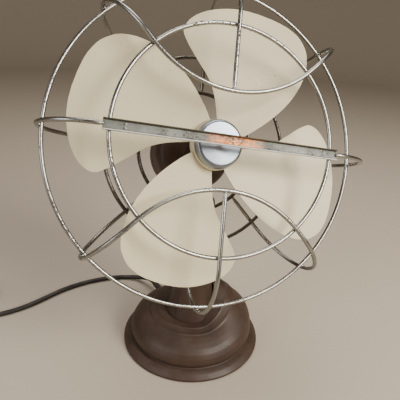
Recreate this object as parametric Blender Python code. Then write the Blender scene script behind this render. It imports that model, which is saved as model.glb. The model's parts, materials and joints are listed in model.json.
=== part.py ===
"""Desk fan with a wire guard, four blades, a tilting head and an oscillating gearbox.

World frame: metres, +Z up, the origin on the table under the middle of the base. The fan
faces -Y. The head is built in its own frame, whose X is world X, whose Y points up across
the head, and whose Z runs forward along the blade axis. Sizes below are in millimetres.
"""
import math

import bmesh
import bpy
from mathutils import Matrix, Vector

MM = 0.001
GAP = 0.3

# driving dimensions
BASE_R = 83.4
PLATE_R = 79.4
PLATE_Z = (2.3, 5.4)
FELT_R = 78.0
FELT_TOP = 2.0
HUMP_AZIMUTH = 0.0
SEAT_Z = 38.0
NECK_TOP = 142.0
STEM_R = 6.1
PIVOT_Z = 181.0
TILT_DEG = 23.0
AXIS_RISE = 56.43
MOTOR_R = 42.0
WALL = 2.2
SHAFT_R = 4.0
HUB_R = 24.0
BLADE_ROOT_R = 24.4
BLADE_TIP_R = 139.5
BLADE_MID_S = 74.0
BLADE_PITCH = 0.25
BLADE_CAMBER = 0.0008
BLADE_MID_DEG = -30.0
BLADE_THICK = 1.1
BLADE_COUNT = 4
WIRE_R = 2.0
RING_WIRE_R = 1.9
GUARD_R = 160.4
GUARD_TURN_R = 112.0
GUARD_MID_S = 64.0
GUARD_HALF_S = 48.1
GUARD_ROLL = -10.0
MOUNT_RING_R = 63.0
MOUNT_RING_S = 16.0
REAR_RING_R = 99.0
BAR_HALF = 108.5
BAR_HEIGHT = 10.0
WORM_TEETH = 36
WHEEL_U = 19.0
GEAR_S = -66.0
CORD_R = 3.1
COIL_CENTRE = (-292.0, 137.0)
COIL_MID_R = 37.0
COIL_TURNS_WIDE = 3
COIL_TURNS_HIGH = 2

BROWN = ((0.075, 0.043, 0.030), 0.42, 0.0)
CREAM = ((0.60, 0.56, 0.44), 0.38, 0.0)
NICKEL = ((0.56, 0.55, 0.52), 0.30, 1.0)
SPUN = ((0.78, 0.80, 0.84), 0.28, 1.0)
STEEL = ((0.42, 0.42, 0.43), 0.38, 1.0)
BRONZE = ((0.45, 0.28, 0.12), 0.45, 1.0)
BRASS = ((0.62, 0.45, 0.18), 0.35, 1.0)
COPPER = ((0.55, 0.22, 0.10), 0.40, 1.0)
RUBBER = ((0.028, 0.020, 0.016), 0.60, 0.0)
BLACK = ((0.018, 0.016, 0.015), 0.40, 0.0)
FELT = ((0.05, 0.07, 0.05), 0.95, 0.0)


def clear_scene():
    """Remove every object, so the script starts from nothing."""
    for item in list(bpy.data.objects):
        bpy.data.objects.remove(item, do_unlink=True)


def material(name, finish):
    """Make a Principled material from a (colour, roughness, metallic) finish."""
    colour, rough, metal = finish
    made = bpy.data.materials.new(name)
    made.use_nodes = True
    shader = made.node_tree.nodes["Principled BSDF"]
    shader.inputs["Base Color"].default_value = (*colour, 1.0)
    shader.inputs["Roughness"].default_value = rough
    shader.inputs["Metallic"].default_value = metal
    return made


def empty(name, location, parent=None, turn=(0.0, 0.0, 0.0)):
    """Add an empty that carries a moving group."""
    made = bpy.data.objects.new(name, None)
    bpy.context.scene.collection.objects.link(made)
    made.location = Vector(location) * MM
    made.rotation_euler = [math.radians(a) for a in turn]
    made.parent = parent
    return made


def add(name, shape, finish, parent=None, location=(0, 0, 0), turn=(0, 0, 0), sharp=35.0):
    """Turn a bmesh in millimetres into a named object in metres."""
    bmesh.ops.scale(shape, vec=(MM, MM, MM), verts=shape.verts)
    bmesh.ops.recalc_face_normals(shape, faces=shape.faces)
    mesh = bpy.data.meshes.new(name)
    shape.to_mesh(mesh)
    shape.free()
    mesh.shade_smooth()
    mesh.set_sharp_from_angle(angle=math.radians(sharp))
    made = bpy.data.objects.new(name, mesh)
    bpy.context.scene.collection.objects.link(made)
    made.location = Vector(location) * MM
    made.rotation_euler = [math.radians(a) for a in turn]
    made.parent = parent
    if finish is not None:
        mesh.materials.append(material(name, finish))
    return made


def copy_of(source, name, finish, parent=None, location=(0, 0, 0), turn=(0, 0, 0)):
    """Place another object that shares a mesh."""
    made = bpy.data.objects.new(name, source.data)
    bpy.context.scene.collection.objects.link(made)
    made.location = Vector(location) * MM
    made.rotation_euler = [math.radians(a) for a in turn]
    made.parent = parent
    made.material_slots[0].link = "OBJECT"
    made.material_slots[0].material = material(name, finish)
    return made


def combine(target, tool, operation):
    """Boolean a hidden tool object into a target."""
    step = target.modifiers.new(operation.lower(), "BOOLEAN")
    step.operation = operation
    step.solver = "EXACT"
    step.object = tool
    tool.hide_render = True
    tool.display_type = "WIRE"


def lathe(profile, segments, reshape=None):
    """Spin a closed (radius, height) outline about Z; radius 0 makes a pole."""
    shape = bmesh.new()
    rows = []
    for radius, height, *rest in profile:
        lift = rest[0] if rest else 0.0
        if radius == 0.0:
            rows.append([shape.verts.new((0.0, 0.0, height))])
            continue
        row = []
        for i in range(segments):
            angle = 2.0 * math.pi * i / segments
            r, z = radius, height
            if reshape is not None:
                r, z = reshape(radius, height, lift, angle)
            row.append(shape.verts.new((r * math.cos(angle), r * math.sin(angle), z)))
        rows.append(row)
    on_axis = len(rows[0]) == 1
    count = len(rows) - 1 if on_axis else len(rows)
    for k in range(count):
        join_rows(shape, rows[k], rows[(k + 1) % len(rows)], segments)
    return shape


def join_rows(shape, low, high, segments):
    """Skin the strip between two rings of vertices, either of which may be a pole."""
    for i in range(segments):
        j = (i + 1) % segments
        if len(low) == 1:
            shape.faces.new((low[0], high[i], high[j]))
        elif len(high) == 1:
            shape.faces.new((low[i], low[j], high[0]))
        else:
            shape.faces.new((low[i], low[j], high[j], high[i]))


def disc(radius, low, high, segments=32):
    """A solid round plate."""
    return lathe([(0.0, low), (radius, low), (radius, high), (0.0, high)], segments)


def sleeve(inner, outer, low, high, segments=28):
    """A tube with square ends."""
    return lathe([(inner, low), (outer, low), (outer, high), (inner, high)], segments)


def block(low, high):
    """An axis-aligned box between two corners."""
    shape = bmesh.new()
    size = [high[i] - low[i] for i in range(3)]
    middle = [(high[i] + low[i]) / 2.0 for i in range(3)]
    place = Matrix.Translation(middle) @ Matrix.Diagonal((*size, 1.0))
    bmesh.ops.create_cube(shape, size=1.0, matrix=place)
    return shape


def prism(outline, low, high):
    """Extrude a closed (x, y) outline along Z."""
    shape = bmesh.new()
    bottom = [shape.verts.new((x, y, low)) for x, y in outline]
    top = [shape.verts.new((x, y, high)) for x, y in outline]
    shape.faces.new(bottom)
    shape.faces.new(top)
    for i in range(len(outline)):
        j = (i + 1) % len(outline)
        shape.faces.new((bottom[i], bottom[j], top[j], top[i]))
    return shape


def frame_prism(outer, inner, low, high):
    """Extrude the band between two outlines that have the same number of points."""
    shape = bmesh.new()
    count = len(outer)
    loops = []
    for outline, z in ((outer, low), (outer, high), (inner, high), (inner, low)):
        loops.append([shape.verts.new((x, y, z)) for x, y in outline])
    for k in range(4):
        join_rows(shape, loops[k], loops[(k + 1) % 4], count)
    return shape


def sweep(points, radius, sides=6, closed=False):
    """A round wire along a list of points."""
    shape = bmesh.new()
    path = [Vector(p) for p in points]
    count = len(path)
    normal = None
    loops = []
    for i, point in enumerate(path):
        ahead = path[(i + 1) % count] if closed or i < count - 1 else point
        behind = path[i - 1] if closed or i > 0 else point
        along = (ahead - behind).normalized()
        if normal is None:
            normal = along.orthogonal().normalized()
        normal = (normal - along * normal.dot(along)).normalized()
        side = along.cross(normal)
        loop = []
        for k in range(sides):
            angle = 2.0 * math.pi * (k + 0.5) / sides
            spoke = normal * math.cos(angle) + side * math.sin(angle)
            loop.append(shape.verts.new(point + spoke * radius))
        loops.append(loop)
    spans = count if closed else count - 1
    for i in range(spans):
        join_rows(shape, loops[i], loops[(i + 1) % count], sides)
    if not closed:
        shape.faces.new(loops[0])
        shape.faces.new(loops[-1])
    return shape


def circle(radius, s, segments):
    """Points of a circle around the blade axis."""
    turn = [2.0 * math.pi * i / segments for i in range(segments)]
    return [(radius * math.cos(a), radius * math.sin(a), s) for a in turn]


def polar(radius, degrees, s=0.0):
    """A point in the head frame from radius, clock angle and distance forward."""
    angle = math.radians(degrees)
    return (radius * math.cos(angle), radius * math.sin(angle), s)


def interpolate(table, value):
    """Read a sorted (x, y) outline at a value of x."""
    for (x0, y0), (x1, y1) in zip(table, table[1:]):
        if value <= x1:
            return y0 + (y1 - y0) * max(0.0, (value - x0) / (x1 - x0))
    return table[-1][1]


# ---------------------------------------------------------------- base and neck

NECK_SIDE = [(38.3, 32.0), (40.4, 32.0), (45.0, 30.6), (52.0, 28.6), (60.0, 26.8), (70.0, 25.3),
             (82.0, 24.0), (100.0, 21.5), (118.0, 18.0), (132.0, 15.2), (NECK_TOP, 14.2)]

SCREW_CIRCLE_R = 60.0
SCREW_ANGLES = (30.0, 150.0, 270.0)


def hump(radius, height, lift, angle):
    """Raise the dome into a tail on one side of the base, snug around the neck foot."""
    toward = max(0.0, math.cos(angle - math.radians(HUMP_AZIMUTH)))
    z = height + lift * toward ** 1.5
    if radius < 34.0 and lift > 0.0:
        return interpolate(NECK_SIDE, z) + 0.4, z
    return radius, z


def build_base_casting():
    """The heavy cast shell: lip, flange, groove, cushion dome and raised tail."""
    outside = [(PLATE_R + 0.5, 1.0), (BASE_R - 0.4, 1.0), (BASE_R, 1.6), (BASE_R, 3.6),
               (82.2, 4.6), (81.4, 5.4), (78.6, 8.0), (75.0, 9.5), (72.6, 10.2), (71.8, 11.0),
               (72.6, 12.0, 0.2), (73.8, 14.0, 0.8), (74.2, 17.5, 3.0), (73.2, 22.5, 8.0),
               (70.6, 27.6, 11.0), (66.4, 32.0, 12.0), (60.6, 35.6, 14.0), (55.0, 37.8, 18.0),
               (51.6, 38.6, 21.0), (50.2, 39.8, 22.0), (48.4, 39.6, 23.0), (42.4, 40.6, 27.5),
               (41.0, 41.8, 28.5), (39.4, 41.2, 29.0), (33.8, 41.2, 33.0)]
    inside = [(32.4, 40.6), (32.4, SEAT_Z), (12.4, SEAT_Z), (12.4, 33.8), (36.0, 33.8), (50.0, 34.4, 14.0),
              (60.0, 31.0, 11.0), (67.0, 26.0, 8.0), (70.2, 20.0, 4.0), (70.6, 15.0, 1.0),
              (68.6, 11.5), (68.6, 5.8), (PLATE_R + 0.5, 5.8)]
    shell = add("base_casting", lathe(outside + inside, 40, hump), BROWN)
    for i, angle in enumerate(SCREW_ANGLES):
        x, y, _ = polar(SCREW_CIRCLE_R, angle)
        _, top = hump(SCREW_CIRCLE_R, 33.0, 12.0, math.radians(angle))
        boss = add(f"cutter_boss_{i}", disc(5.5, 5.8, top, 16), None, location=(x, y, 0))
        hole = add(f"cutter_tap_{i}", disc(2.3, 4.0, 16.0, 14), None, location=(x, y, 0))
        combine(shell, boss, "UNION")
        combine(shell, hole, "DIFFERENCE")
    knob_hole = add("cutter_switch", disc(4.4, 60.0, 80.0, 20), None, None, (0, 0, SWITCH_Z),
                    (-90, 0, 0))
    combine(shell, knob_hole, "DIFFERENCE")
    cord_hole = add("cutter_cord", disc(4.3, 62.0, 90.0, 20), None, None, (0, 0, EXIT_Z),
                    (0, 90, EXIT_AZIMUTH))
    combine(shell, cord_hole, "DIFFERENCE")
    return shell


def build_base():
    """Felt, bottom plate, screws, casting, neck and its nut."""
    add("felt_pad", disc(FELT_R, 0.0, FELT_TOP, 36), FELT)
    plate = add("base_plate", disc(PLATE_R, *PLATE_Z, 36), STEEL)
    screw_shape = [(0.0, 2.6), (4.0, 2.6), (4.0, 4.0), (2.0, 4.0), (2.0, 14.5), (0.0, 14.5)]
    first = None
    for i, angle in enumerate(SCREW_ANGLES):
        spot = polar(SCREW_CIRCLE_R, angle)
        recess = [(0.0, 2.0), (4.4, 2.0), (4.4, 4.3), (2.4, 4.3), (2.4, 7.0), (0.0, 7.0)]
        tool = add(f"cutter_recess_{i}", lathe(recess, 16), None, location=spot)
        combine(plate, tool, "DIFFERENCE")
        if first is None:
            first = add("base_screw_1", lathe(screw_shape, 14), STEEL, location=spot)
        else:
            copy_of(first, f"base_screw_{i + 1}", STEEL, location=spot)
    build_base_casting()
    side = [(r, z) for z, r in NECK_SIDE]
    bore = [(8.4, NECK_TOP), (8.4, 106.0), (5.0, 106.0), (5.0, 27.0)]
    add("neck", lathe([(12.0, 27.0), (12.0, 38.3)] + side + bore, 32), BROWN)
    hexagon = [polar(17.0, 60.0 * i)[:2] for i in range(6)]
    hexagon = [point for pair in zip(hexagon, midpoints(hexagon)) for point in pair]
    hole = [polar(12.8, 30.0 * i)[:2] for i in range(12)]
    add("neck_nut", frame_prism(hexagon, hole, 28.8, 33.5), STEEL)


def midpoints(outline):
    """The middle of each side of an outline."""
    pairs = zip(outline, outline[1:] + outline[:1])
    return [((a[0] + b[0]) / 2.0, (a[1] + b[1]) / 2.0) for a, b in pairs]


SWITCH_Z = 20.0
SWITCH_FRONT = 57.0


def build_switch():
    """Rotary speed switch inside the base, its bushing and its knob at the back."""
    body = add("speed_switch", block((-11.0, 33.0, 10.0), (11.0, SWITCH_FRONT, 30.0)), BLACK)
    add_bevel(body, 1.5, 2)
    turn = (-90, 0, 0)
    spot = (0, 0, SWITCH_Z)
    add("switch_bushing", sleeve(2.5, 4.0, SWITCH_FRONT + GAP, 77.0, 20), BRASS, None, spot, turn)
    knob = [(0.0, 58.0), (2.1, 58.0), (2.1, 77.4), (9.0, 77.4), (9.6, 78.2), (8.8, 86.0),
            (7.6, 87.6), (0.0, 88.2)]
    handle = add("switch_knob", lathe(knob, 24), BLACK, None, spot, turn)
    return handle


def add_bevel(target, width, segments):
    """Round the edges of a boxy piece."""
    step = target.modifiers.new("bevel", "BEVEL")
    step.width = width * MM
    step.segments = segments
    step.limit_method = "ANGLE"


# ---------------------------------------------------------------- cord and plug

EXIT_Z = 14.5
EXIT_AZIMUTH = 104.0
RELIEF_START = 68.0
RELIEF_END = 100.0
COIL_HIGH = 2.0 * CORD_R * COIL_TURNS_HIGH
COIL_WIDE = 2.0 * CORD_R * COIL_TURNS_WIDE

# the free stretch, from the strain relief to the coil, on the table all the way
CORD_ROUTE = [(-24.3, 97.5, 14.5), (-26.0, 104.6, 14.4), (-29.6, 115.0, 11.9),
              (-36.6, 125.6, 7.6), (-48.0, 134.6, 4.3), (-63.0, 140.2, 3.2),
              (-80.0, 142.8, 3.1), (-97.0, 142.8, 3.1), (-115.0, 140.4, 3.1),
              (-134.0, 135.6, 3.1), (-154.0, 127.6, 3.1), (-172.0, 117.6, 3.1),
              (-190.0, 107.6, 3.1), (-209.0, 99.8, 3.1), (-229.0, 95.4, 3.1),
              (-249.0, 94.0, 3.1), (-268.2, 93.8, 3.1)]


def smooth(points, spacing):
    """Even points along a Catmull-Rom curve through the given ones."""
    path = [Vector(p) for p in points]
    ends = [2 * path[0] - path[1]] + path + [2 * path[-1] - path[-2]]
    fine = []
    for i in range(1, len(ends) - 2):
        a, b, c, d = ends[i - 1:i + 3]
        for k in range(12):
            t = k / 12.0
            fine.append(0.5 * (2 * b + (c - a) * t + (2 * a - 5 * b + 4 * c - d) * t * t
                               + (3 * b - a - 3 * c + d) * t ** 3))
    fine.append(path[-1])
    total = sum((q - p).length for p, q in zip(fine, fine[1:]))
    count = round(total / spacing)
    even = [fine[0]]
    walked = 0.0
    for p, q in zip(fine, fine[1:]):
        walked += (q - p).length
        if walked >= total * len(even) / count and len(even) < count:
            even.append(q)
    return even + [fine[-1]]


def add_cord(name, points, spacing):
    """A plain round cord as a curve with a bevel and filled ends."""
    curve = bpy.data.curves.new(name, "CURVE")
    curve.dimensions = "3D"
    curve.bevel_depth = CORD_R * MM
    curve.bevel_resolution = 2
    curve.use_fill_caps = True
    path = smooth(points, spacing)
    line = curve.splines.new("POLY")
    line.points.add(len(path) - 1)
    for spot, point in zip(line.points, path):
        spot.co = (*(point * MM), 1.0)
    made = bpy.data.objects.new(name, curve)
    bpy.context.scene.collection.objects.link(made)
    curve.materials.append(material(name, RUBBER))
    return made


def build_cord():
    """Strain relief, the cord to the coil, the coil, and the plug lying on it."""
    relief = [(0.0, RELIEF_START), (3.9, RELIEF_START), (3.9, 75.2), (4.9, 75.2), (4.9, 77.0),
              (4.3, 77.8), (3.6, RELIEF_END), (0.0, RELIEF_END)]
    add("strain_relief", lathe(relief, 18), RUBBER, None, (0, 0, EXIT_Z), (0, 90, EXIT_AZIMUTH))
    add_cord("power_cord", CORD_ROUTE, 6.2)
    inner = COIL_MID_R - COIL_WIDE / 2.0
    outer = COIL_MID_R + COIL_WIDE / 2.0
    soft = 2.2
    section = [(inner, soft), (inner + soft, 0.05), (outer - soft, 0.05), (outer, soft),
               (outer, COIL_HIGH - soft), (outer - soft, COIL_HIGH), (inner + soft, COIL_HIGH),
               (inner, COIL_HIGH - soft)]
    add("cord_coil", lathe(section, 32), RUBBER, None, (*COIL_CENTRE, 0))
    tail = []
    for i in range(8):
        azimuth = math.radians(250.0 - 10.0 * i)
        t = i / 7.0
        rise = 3.9 * t * t * (3.0 - 2.0 * t)
        x = COIL_CENTRE[0] + COIL_MID_R * math.cos(azimuth)
        y = COIL_CENTRE[1] + COIL_MID_R * math.sin(azimuth)
        tail.append((x, y, COIL_HIGH + CORD_R + GAP + rise))
    add_cord("cord_tail", tail, 6.0)
    build_plug(tail[-1][0], tail[-1][1] + 2.0 * GAP, tail[-1][2])


def build_plug(x, y, z):
    """Two-blade plug lying flat, its back end at (x, y, z)."""
    stations = [(0.0, 4.6, 4.6), (6.0, 6.4, 5.6), (12.0, 11.0, 6.4), (26.0, 12.4, 6.6),
                (29.0, 11.6, 6.0)]
    shape = bmesh.new()
    loops = []
    sides = 16
    for along, half_wide, half_high in stations:
        loop = []
        for k in range(sides):
            angle = 2.0 * math.pi * (k + 0.5) / sides
            across = half_wide * math.copysign(abs(math.cos(angle)) ** 0.6, math.cos(angle))
            up = half_high * math.copysign(abs(math.sin(angle)) ** 0.6, math.sin(angle))
            loop.append(shape.verts.new((across, along, up)))
        loops.append(loop)
    for low, high in zip(loops, loops[1:]):
        join_rows(shape, low, high, sides)
    shape.faces.new(loops[0])
    shape.faces.new(loops[-1])
    add("cord_plug", shape, RUBBER, None, (x, y, z))
    for i, side in enumerate((-1.0, 1.0)):
        middle = side * 6.35
        blade = block((middle - 0.75, 29.0 + GAP, -3.1), (middle + 0.75, 45.5, 3.1))
        made = add(f"plug_blade_{i + 1}", blade, BRASS, None, (x, y, z))
        add_bevel(made, 0.4, 1)


# ---------------------------------------------------------------- swivel and tilt

EAR_OUT = 15.6
EAR_IN = 11.6
EAR_HALF = 8.0
EAR_TOP = 8.5
TONGUE_HALF = 11.2


def build_swivel(swivel):
    """Bush in the neck, the yoke that turns in it, and the tilt bolt."""
    add("swivel_bush", sleeve(6.4, 8.1, 107.0, NECK_TOP - 0.2), BRONZE)
    low = -(PIVOT_Z - NECK_TOP - 5.0)
    fork = [(-EAR_OUT, low), (EAR_OUT, low), (EAR_OUT, EAR_TOP), (EAR_IN, EAR_TOP),
            (EAR_IN, low + 6.0), (-EAR_IN, low + 6.0), (-EAR_IN, EAR_TOP), (-EAR_OUT, EAR_TOP)]
    drop = PIVOT_Z
    yoke = add("swivel_yoke", prism(fork, -EAR_HALF, EAR_HALF), BROWN, swivel,
               (0, 0, 0), (90, 0, 0))
    stem = [(0.0, 106.6 - drop), (STEM_R, 106.6 - drop), (STEM_R, 142.5 - drop),
            (13.8, 142.5 - drop), (13.8, low + 1.5), (0.0, low + 1.5)]
    combine(yoke, add("cutter_stem", lathe(stem, 28), None, swivel), "UNION")
    pin_hole = add("cutter_pin", disc(3.4, -30.0, 30.0, 20), None, swivel, (0, 0, 0), (0, 90, 0))
    combine(yoke, pin_hole, "DIFFERENCE")
    bolt = [(0.0, -20.0), (5.6, -20.0), (6.0, -19.0), (6.0, EAR_OUT * -1.0 - GAP), (3.0, -15.9),
            (3.0, 27.0), (0.0, 27.0)]
    add("tilt_bolt", lathe(bolt, 20), STEEL, swivel, (0, 0, 0), (0, -90, 0))


def build_wing_nut(swivel):
    """The knurled wing nut that clamps the tilt."""
    collar = [(3.4, 16.0), (7.0, 16.0), (7.0, 18.0), (5.6, 25.0), (3.4, 25.0)]
    nut = add("tilt_wing_nut", lathe(collar, 20), STEEL, swivel, (0, 0, 0), (0, -90, 0))
    half = [(4.2, 1.0), (5.0, 4.6), (9.0, 7.4), (12.0, 6.6), (12.0, 11.0), (9.6, 13.4),
            (6.0, 9.4), (4.6, 8.6)]
    outline = half + [(-x, y) for x, y in reversed(half)]
    wings = prism([(-16.4 - y, x) for x, y in outline], -1.6, 1.6)
    tool = add("cutter_wings", wings, None, swivel)
    hole = add("cutter_nut_bore", disc(3.4, 10.0, 40.0, 20), None, swivel, (0, 0, 0), (0, -90, 0))
    combine(nut, tool, "UNION")
    combine(nut, hole, "DIFFERENCE")


# ---------------------------------------------------------------- motor

def build_motor(spin, tilt):
    """Motor shells, windings, bearings and the tongue that hangs on the tilt bolt."""
    front = [(MOTOR_R, -16.0), (MOTOR_R, 3.0), (41.0, 9.0), (38.0, 14.0), (32.0, 17.4),
             (22.0, 19.4), (15.0, 22.0), (13.2, 28.0), (12.6, 40.0), (10.4, 40.0), (10.4, 13.0),
             (18.0, 14.2), (30.0, 14.6), (36.4, 11.8), (39.2, 7.0), (39.8, 1.0), (39.8, -16.0)]
    shell = add("motor_front_shell", lathe(front, 32), BROWN, spin)
    arc = [polar(9.0, 180.0 + 15.0 * i)[:2] for i in range(13)]
    top = AXIS_RISE - MOTOR_R + 2.2
    tongue = prism(arc + [(9.0, top), (-9.0, top)], -TONGUE_HALF, TONGUE_HALF)
    turn_to_side = Matrix(((0, 0, 1, 0), (0, 1, 0, 0), (1, 0, 0, 0), (0, 0, 0, 1)))
    bmesh.ops.transform(tongue, matrix=turn_to_side, verts=tongue.verts)
    combine(shell, add("cutter_tongue", tongue, None, tilt), "UNION")
    bolt_hole = add("cutter_bolt", disc(3.4, -20.0, 20.0, 20), None, tilt, (0, 0, 0), (0, 90, 0))
    combine(shell, bolt_hole, "DIFFERENCE")
    rear = [(MOTOR_R, -16.3), (MOTOR_R, -26.0), (40.5, -36.0), (36.0, -44.0), (28.0, -49.6),
            (22.0, -51.0), (10.4, -51.0), (10.4, -37.0), (14.0, -37.0), (15.0, -45.6),
            (26.0, -46.6), (33.8, -41.6), (38.2, -34.6), (39.8, -26.0), (39.8, -16.3)]
    add("motor_rear_shell", lathe(rear, 32), BROWN, spin)
    add("front_bearing", sleeve(SHAFT_R + 0.3, 10.1, 14.0, 39.6), BRONZE, spin)
    add("rear_bearing", sleeve(SHAFT_R + 0.3, 10.1, -50.6, -37.6), BRONZE, spin)
    build_stator(spin)


def build_stator(spin):
    """Laminated stator with four poles, and a coil around each pole."""
    outer = []
    inner = []
    steps = 60
    for i in range(steps):
        degrees = 360.0 * i / steps
        off_pole = abs((degrees + 45.0) % 90.0 - 45.0)
        outer.append(polar(38.6, degrees)[:2])
        inner.append(polar(21.0 if off_pole <= 12.5 else 31.0, degrees)[:2])
    add("stator_core", frame_prism(outer, inner, -27.0, -3.0), STEEL, spin)
    big = rounded_rectangle(13.2, 16.5, 3.0)
    small = rounded_rectangle(9.6, 12.6, 1.2)
    first = None
    for i in range(4):
        turn = (0, 90, 90.0 * i)
        spot = (0, 0, -15.0)
        if first is None:
            coil = frame_prism(swap(big), swap(small), 21.8, 27.0)
            first = add("stator_coil_1", coil, COPPER, spin, spot, turn)
        else:
            copy_of(first, f"stator_coil_{i + 1}", COPPER, spin, spot, turn)


def rounded_rectangle(half_x, half_y, radius):
    """A rectangle with four cut corners of three points each."""
    outline = []
    for corner, (sx, sy) in enumerate(((1, 1), (-1, 1), (-1, -1), (1, -1))):
        for k in range(3):
            angle = math.radians(90.0 * corner + 45.0 * k)
            outline.append((sx * (half_x - radius) + radius * math.cos(angle),
                            sy * (half_y - radius) + radius * math.sin(angle)))
    return outline


def swap(outline):
    """Exchange the two axes of an outline."""
    return [(y, x) for x, y in outline]


# ---------------------------------------------------------------- gearbox

def build_worm(spin):
    """The worm on the back end of the shaft."""
    pitch = 2.0 * math.pi * 12.0 / WORM_TEETH
    profile = [(SHAFT_R + 0.3, GEAR_S - 3.5 * pitch)]
    for i in range(7):
        s = GEAR_S + (i - 3.5) * pitch
        profile += [(5.0, s), (5.0, s + 0.35 * pitch), (6.1, s + 0.6 * pitch)]
    profile += [(5.0, GEAR_S + 3.5 * pitch), (SHAFT_R + 0.3, GEAR_S + 3.5 * pitch)]
    add("worm", lathe(profile, 12), STEEL, spin)


def build_gearbox(spin, wheel_axis):
    """Worm wheel with its crank, the short link, the cover and the lift knob."""
    teeth = []
    for i in range(2 * WORM_TEETH):
        radius = 12.2 if i % 2 else 11.0
        teeth.append(polar(radius, 360.0 * i / (2 * WORM_TEETH))[:2])
    wheel = add("worm_wheel", prism(teeth, -2.5, 2.5), BRASS, wheel_axis)
    pole = [(0.0, -50.4), (10.5, -50.4), (10.5, -47.0), (3.0, -47.0), (3.0, 9.0), (0.0, 9.0)]
    combine(wheel, add("cutter_axle", lathe(pole, 20), None, wheel_axis), "UNION")
    pin = add("cutter_crank_pin", disc(1.8, -54.6, -49.0, 14), None, wheel_axis, (0, -CRANK_R, 0))
    combine(wheel, pin, "UNION")
    low, high = (-14.0, -45.6, -82.0), (36.0, 22.0, -51.4)
    cover = add("gearbox_cover", block(low, high), BROWN, spin)
    add_bevel(cover, 6.0, 3)
    hollow = block((low[0] + 2.4, low[1] + 2.4, low[2] + 2.4), (33.6, 19.6, -40.0))
    combine(cover, add("cutter_gear_space", hollow, None, spin), "DIFFERENCE")
    for name, start, end in (("cutter_axle_hole", -60.0, -30.0), ("cutter_knob_hole", 15.0, 30.0)):
        hole = add(name, disc(3.4, start, end, 20), None, wheel_axis)
        combine(cover, hole, "DIFFERENCE")
    knob = [(0.0, 12.0), (3.0, 12.0), (3.0, 24.0), (6.0, 24.0), (6.6, 25.0), (6.0, 33.0),
            (4.6, 34.4), (0.0, 34.8)]
    add("oscillator_knob", lathe(knob, 20), BLACK, wheel_axis)


CRANK_R = 8.0
LINK_LENGTH = 16.0


def build_link(link_axis):
    """The crank link, an eye at each end."""
    outline = []
    for i in range(13):
        outline.append(polar(4.0, 180.0 - 15.0 * i)[:2])
    for i in range(13):
        x, y, _ = polar(4.0, -15.0 * i)
        outline.append((x, y - LINK_LENGTH))
    link = add("crank_link", prism(outline, -54.2, -51.2), STEEL, link_axis)
    for i, reach in enumerate((0.0, -LINK_LENGTH)):
        eye = add(f"cutter_eye_{i}", disc(2.1, -60.0, -45.0, 14), None, link_axis, (0, reach, 0))
        combine(link, eye, "DIFFERENCE")


# ---------------------------------------------------------------- rotor and blades

# clock angle of each blade edge at a radius, from the root to the tip
BLADE_HIGH = [(24.4, -11.0), (32.0, -9.0), (46.0, -6.5), (62.0, -2.5), (80.0, 3.5), (95.0, 7.0),
              (105.0, 8.4), (114.0, 8.6), (122.0, 5.8), (128.0, 1.2), (132.0, -4.0), (135.5, -11.0),
              (138.2, -20.0), (BLADE_TIP_R, -35.0)]
BLADE_LOW = [(24.4, -78.0), (32.0, -76.0), (46.0, -72.2), (65.0, -68.0), (85.0, -63.6),
             (105.0, -58.4), (118.0, -54.2), (126.0, -51.0), (131.0, -48.4), (135.5, -44.8),
             (138.2, -41.4), (BLADE_TIP_R, -37.0)]
BLADE_RADII = (24.4, 32.0, 46.0, 62.0, 78.0, 92.0, 105.0, 114.0, 122.0, 128.0, 132.0, 135.5, 138.2,
               BLADE_TIP_R)


def blade_surface(radius, degrees):
    """How far forward the middle of the blade sheet lies."""
    q = radius * math.radians(degrees - BLADE_MID_DEG)
    return BLADE_MID_S - BLADE_PITCH * q + BLADE_CAMBER * q * q


def blade_shape(columns=6):
    """One pressed blade, in the frame of its own centre line."""
    shape = bmesh.new()
    faces = []
    for side in (-0.5, 0.5):
        rows = []
        for radius in BLADE_RADII:
            first = interpolate(BLADE_LOW, radius)
            last = interpolate(BLADE_HIGH, radius)
            row = []
            for k in range(columns + 1):
                degrees = first + (last - first) * k / columns
                s = blade_surface(radius, degrees) + side * BLADE_THICK
                row.append(shape.verts.new(polar(radius, degrees, s)))
            rows.append(row)
        faces.append(rows)
        for low, high in zip(rows, rows[1:]):
            for k in range(columns):
                shape.faces.new((low[k], low[k + 1], high[k + 1], high[k]))
    back, front = faces
    rim_back = border(back)
    rim_front = border(front)
    join_rows(shape, rim_back, rim_front, len(rim_back))
    return shape


def border(rows):
    """The outline vertices of a grid, once around."""
    left = [row[0] for row in rows]
    right = [row[-1] for row in rows]
    return left + rows[-1][1:-1] + right[::-1] + rows[0][-2:0:-1]


def build_rotor(spin):
    """Shaft, rotor, hub, cap and the four blades: all that spins."""
    shaft = [(0.0, -76.0), (SHAFT_R, -76.0), (SHAFT_R, 81.0), (0.0, 81.0)]
    add("shaft", lathe(shaft, 20), STEEL, spin)
    add("rotor_core", sleeve(SHAFT_R + 0.3, 19.6, -26.0, -4.0, 36), STEEL, spin)
    build_worm(spin)
    hub = [(SHAFT_R + 0.3, 44.0), (9.0, 44.0), (9.6, 64.0), (14.0, 67.0), (HUB_R - 1.5, 68.4),
           (HUB_R, 70.0), (HUB_R, 81.0), (HUB_R - 0.6, 81.7), (SHAFT_R + 0.3, 81.7)]
    add("hub", lathe(hub, 32), CREAM, spin)
    cap = [(0.0, 90.2), (10.0, 89.9), (19.4, 89.0), (21.8, 87.9), (23.0, 86.2), (23.4, 84.0),
           (23.4, 82.0), (21.8, 82.0), (21.8, 84.0), (21.0, 86.0), (18.8, 87.4), (10.0, 88.3),
           (0.0, 88.6)]
    add("hub_cap", lathe(cap, 32), SPUN, spin)
    first = add("blade_1", blade_shape(), CREAM, spin, turn=(0, 0, 0.0))
    for i in range(1, BLADE_COUNT):
        copy_of(first, f"blade_{i + 1}", CREAM, spin, turn=(0, 0, 360.0 * i / BLADE_COUNT))


# ---------------------------------------------------------------- guard

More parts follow.
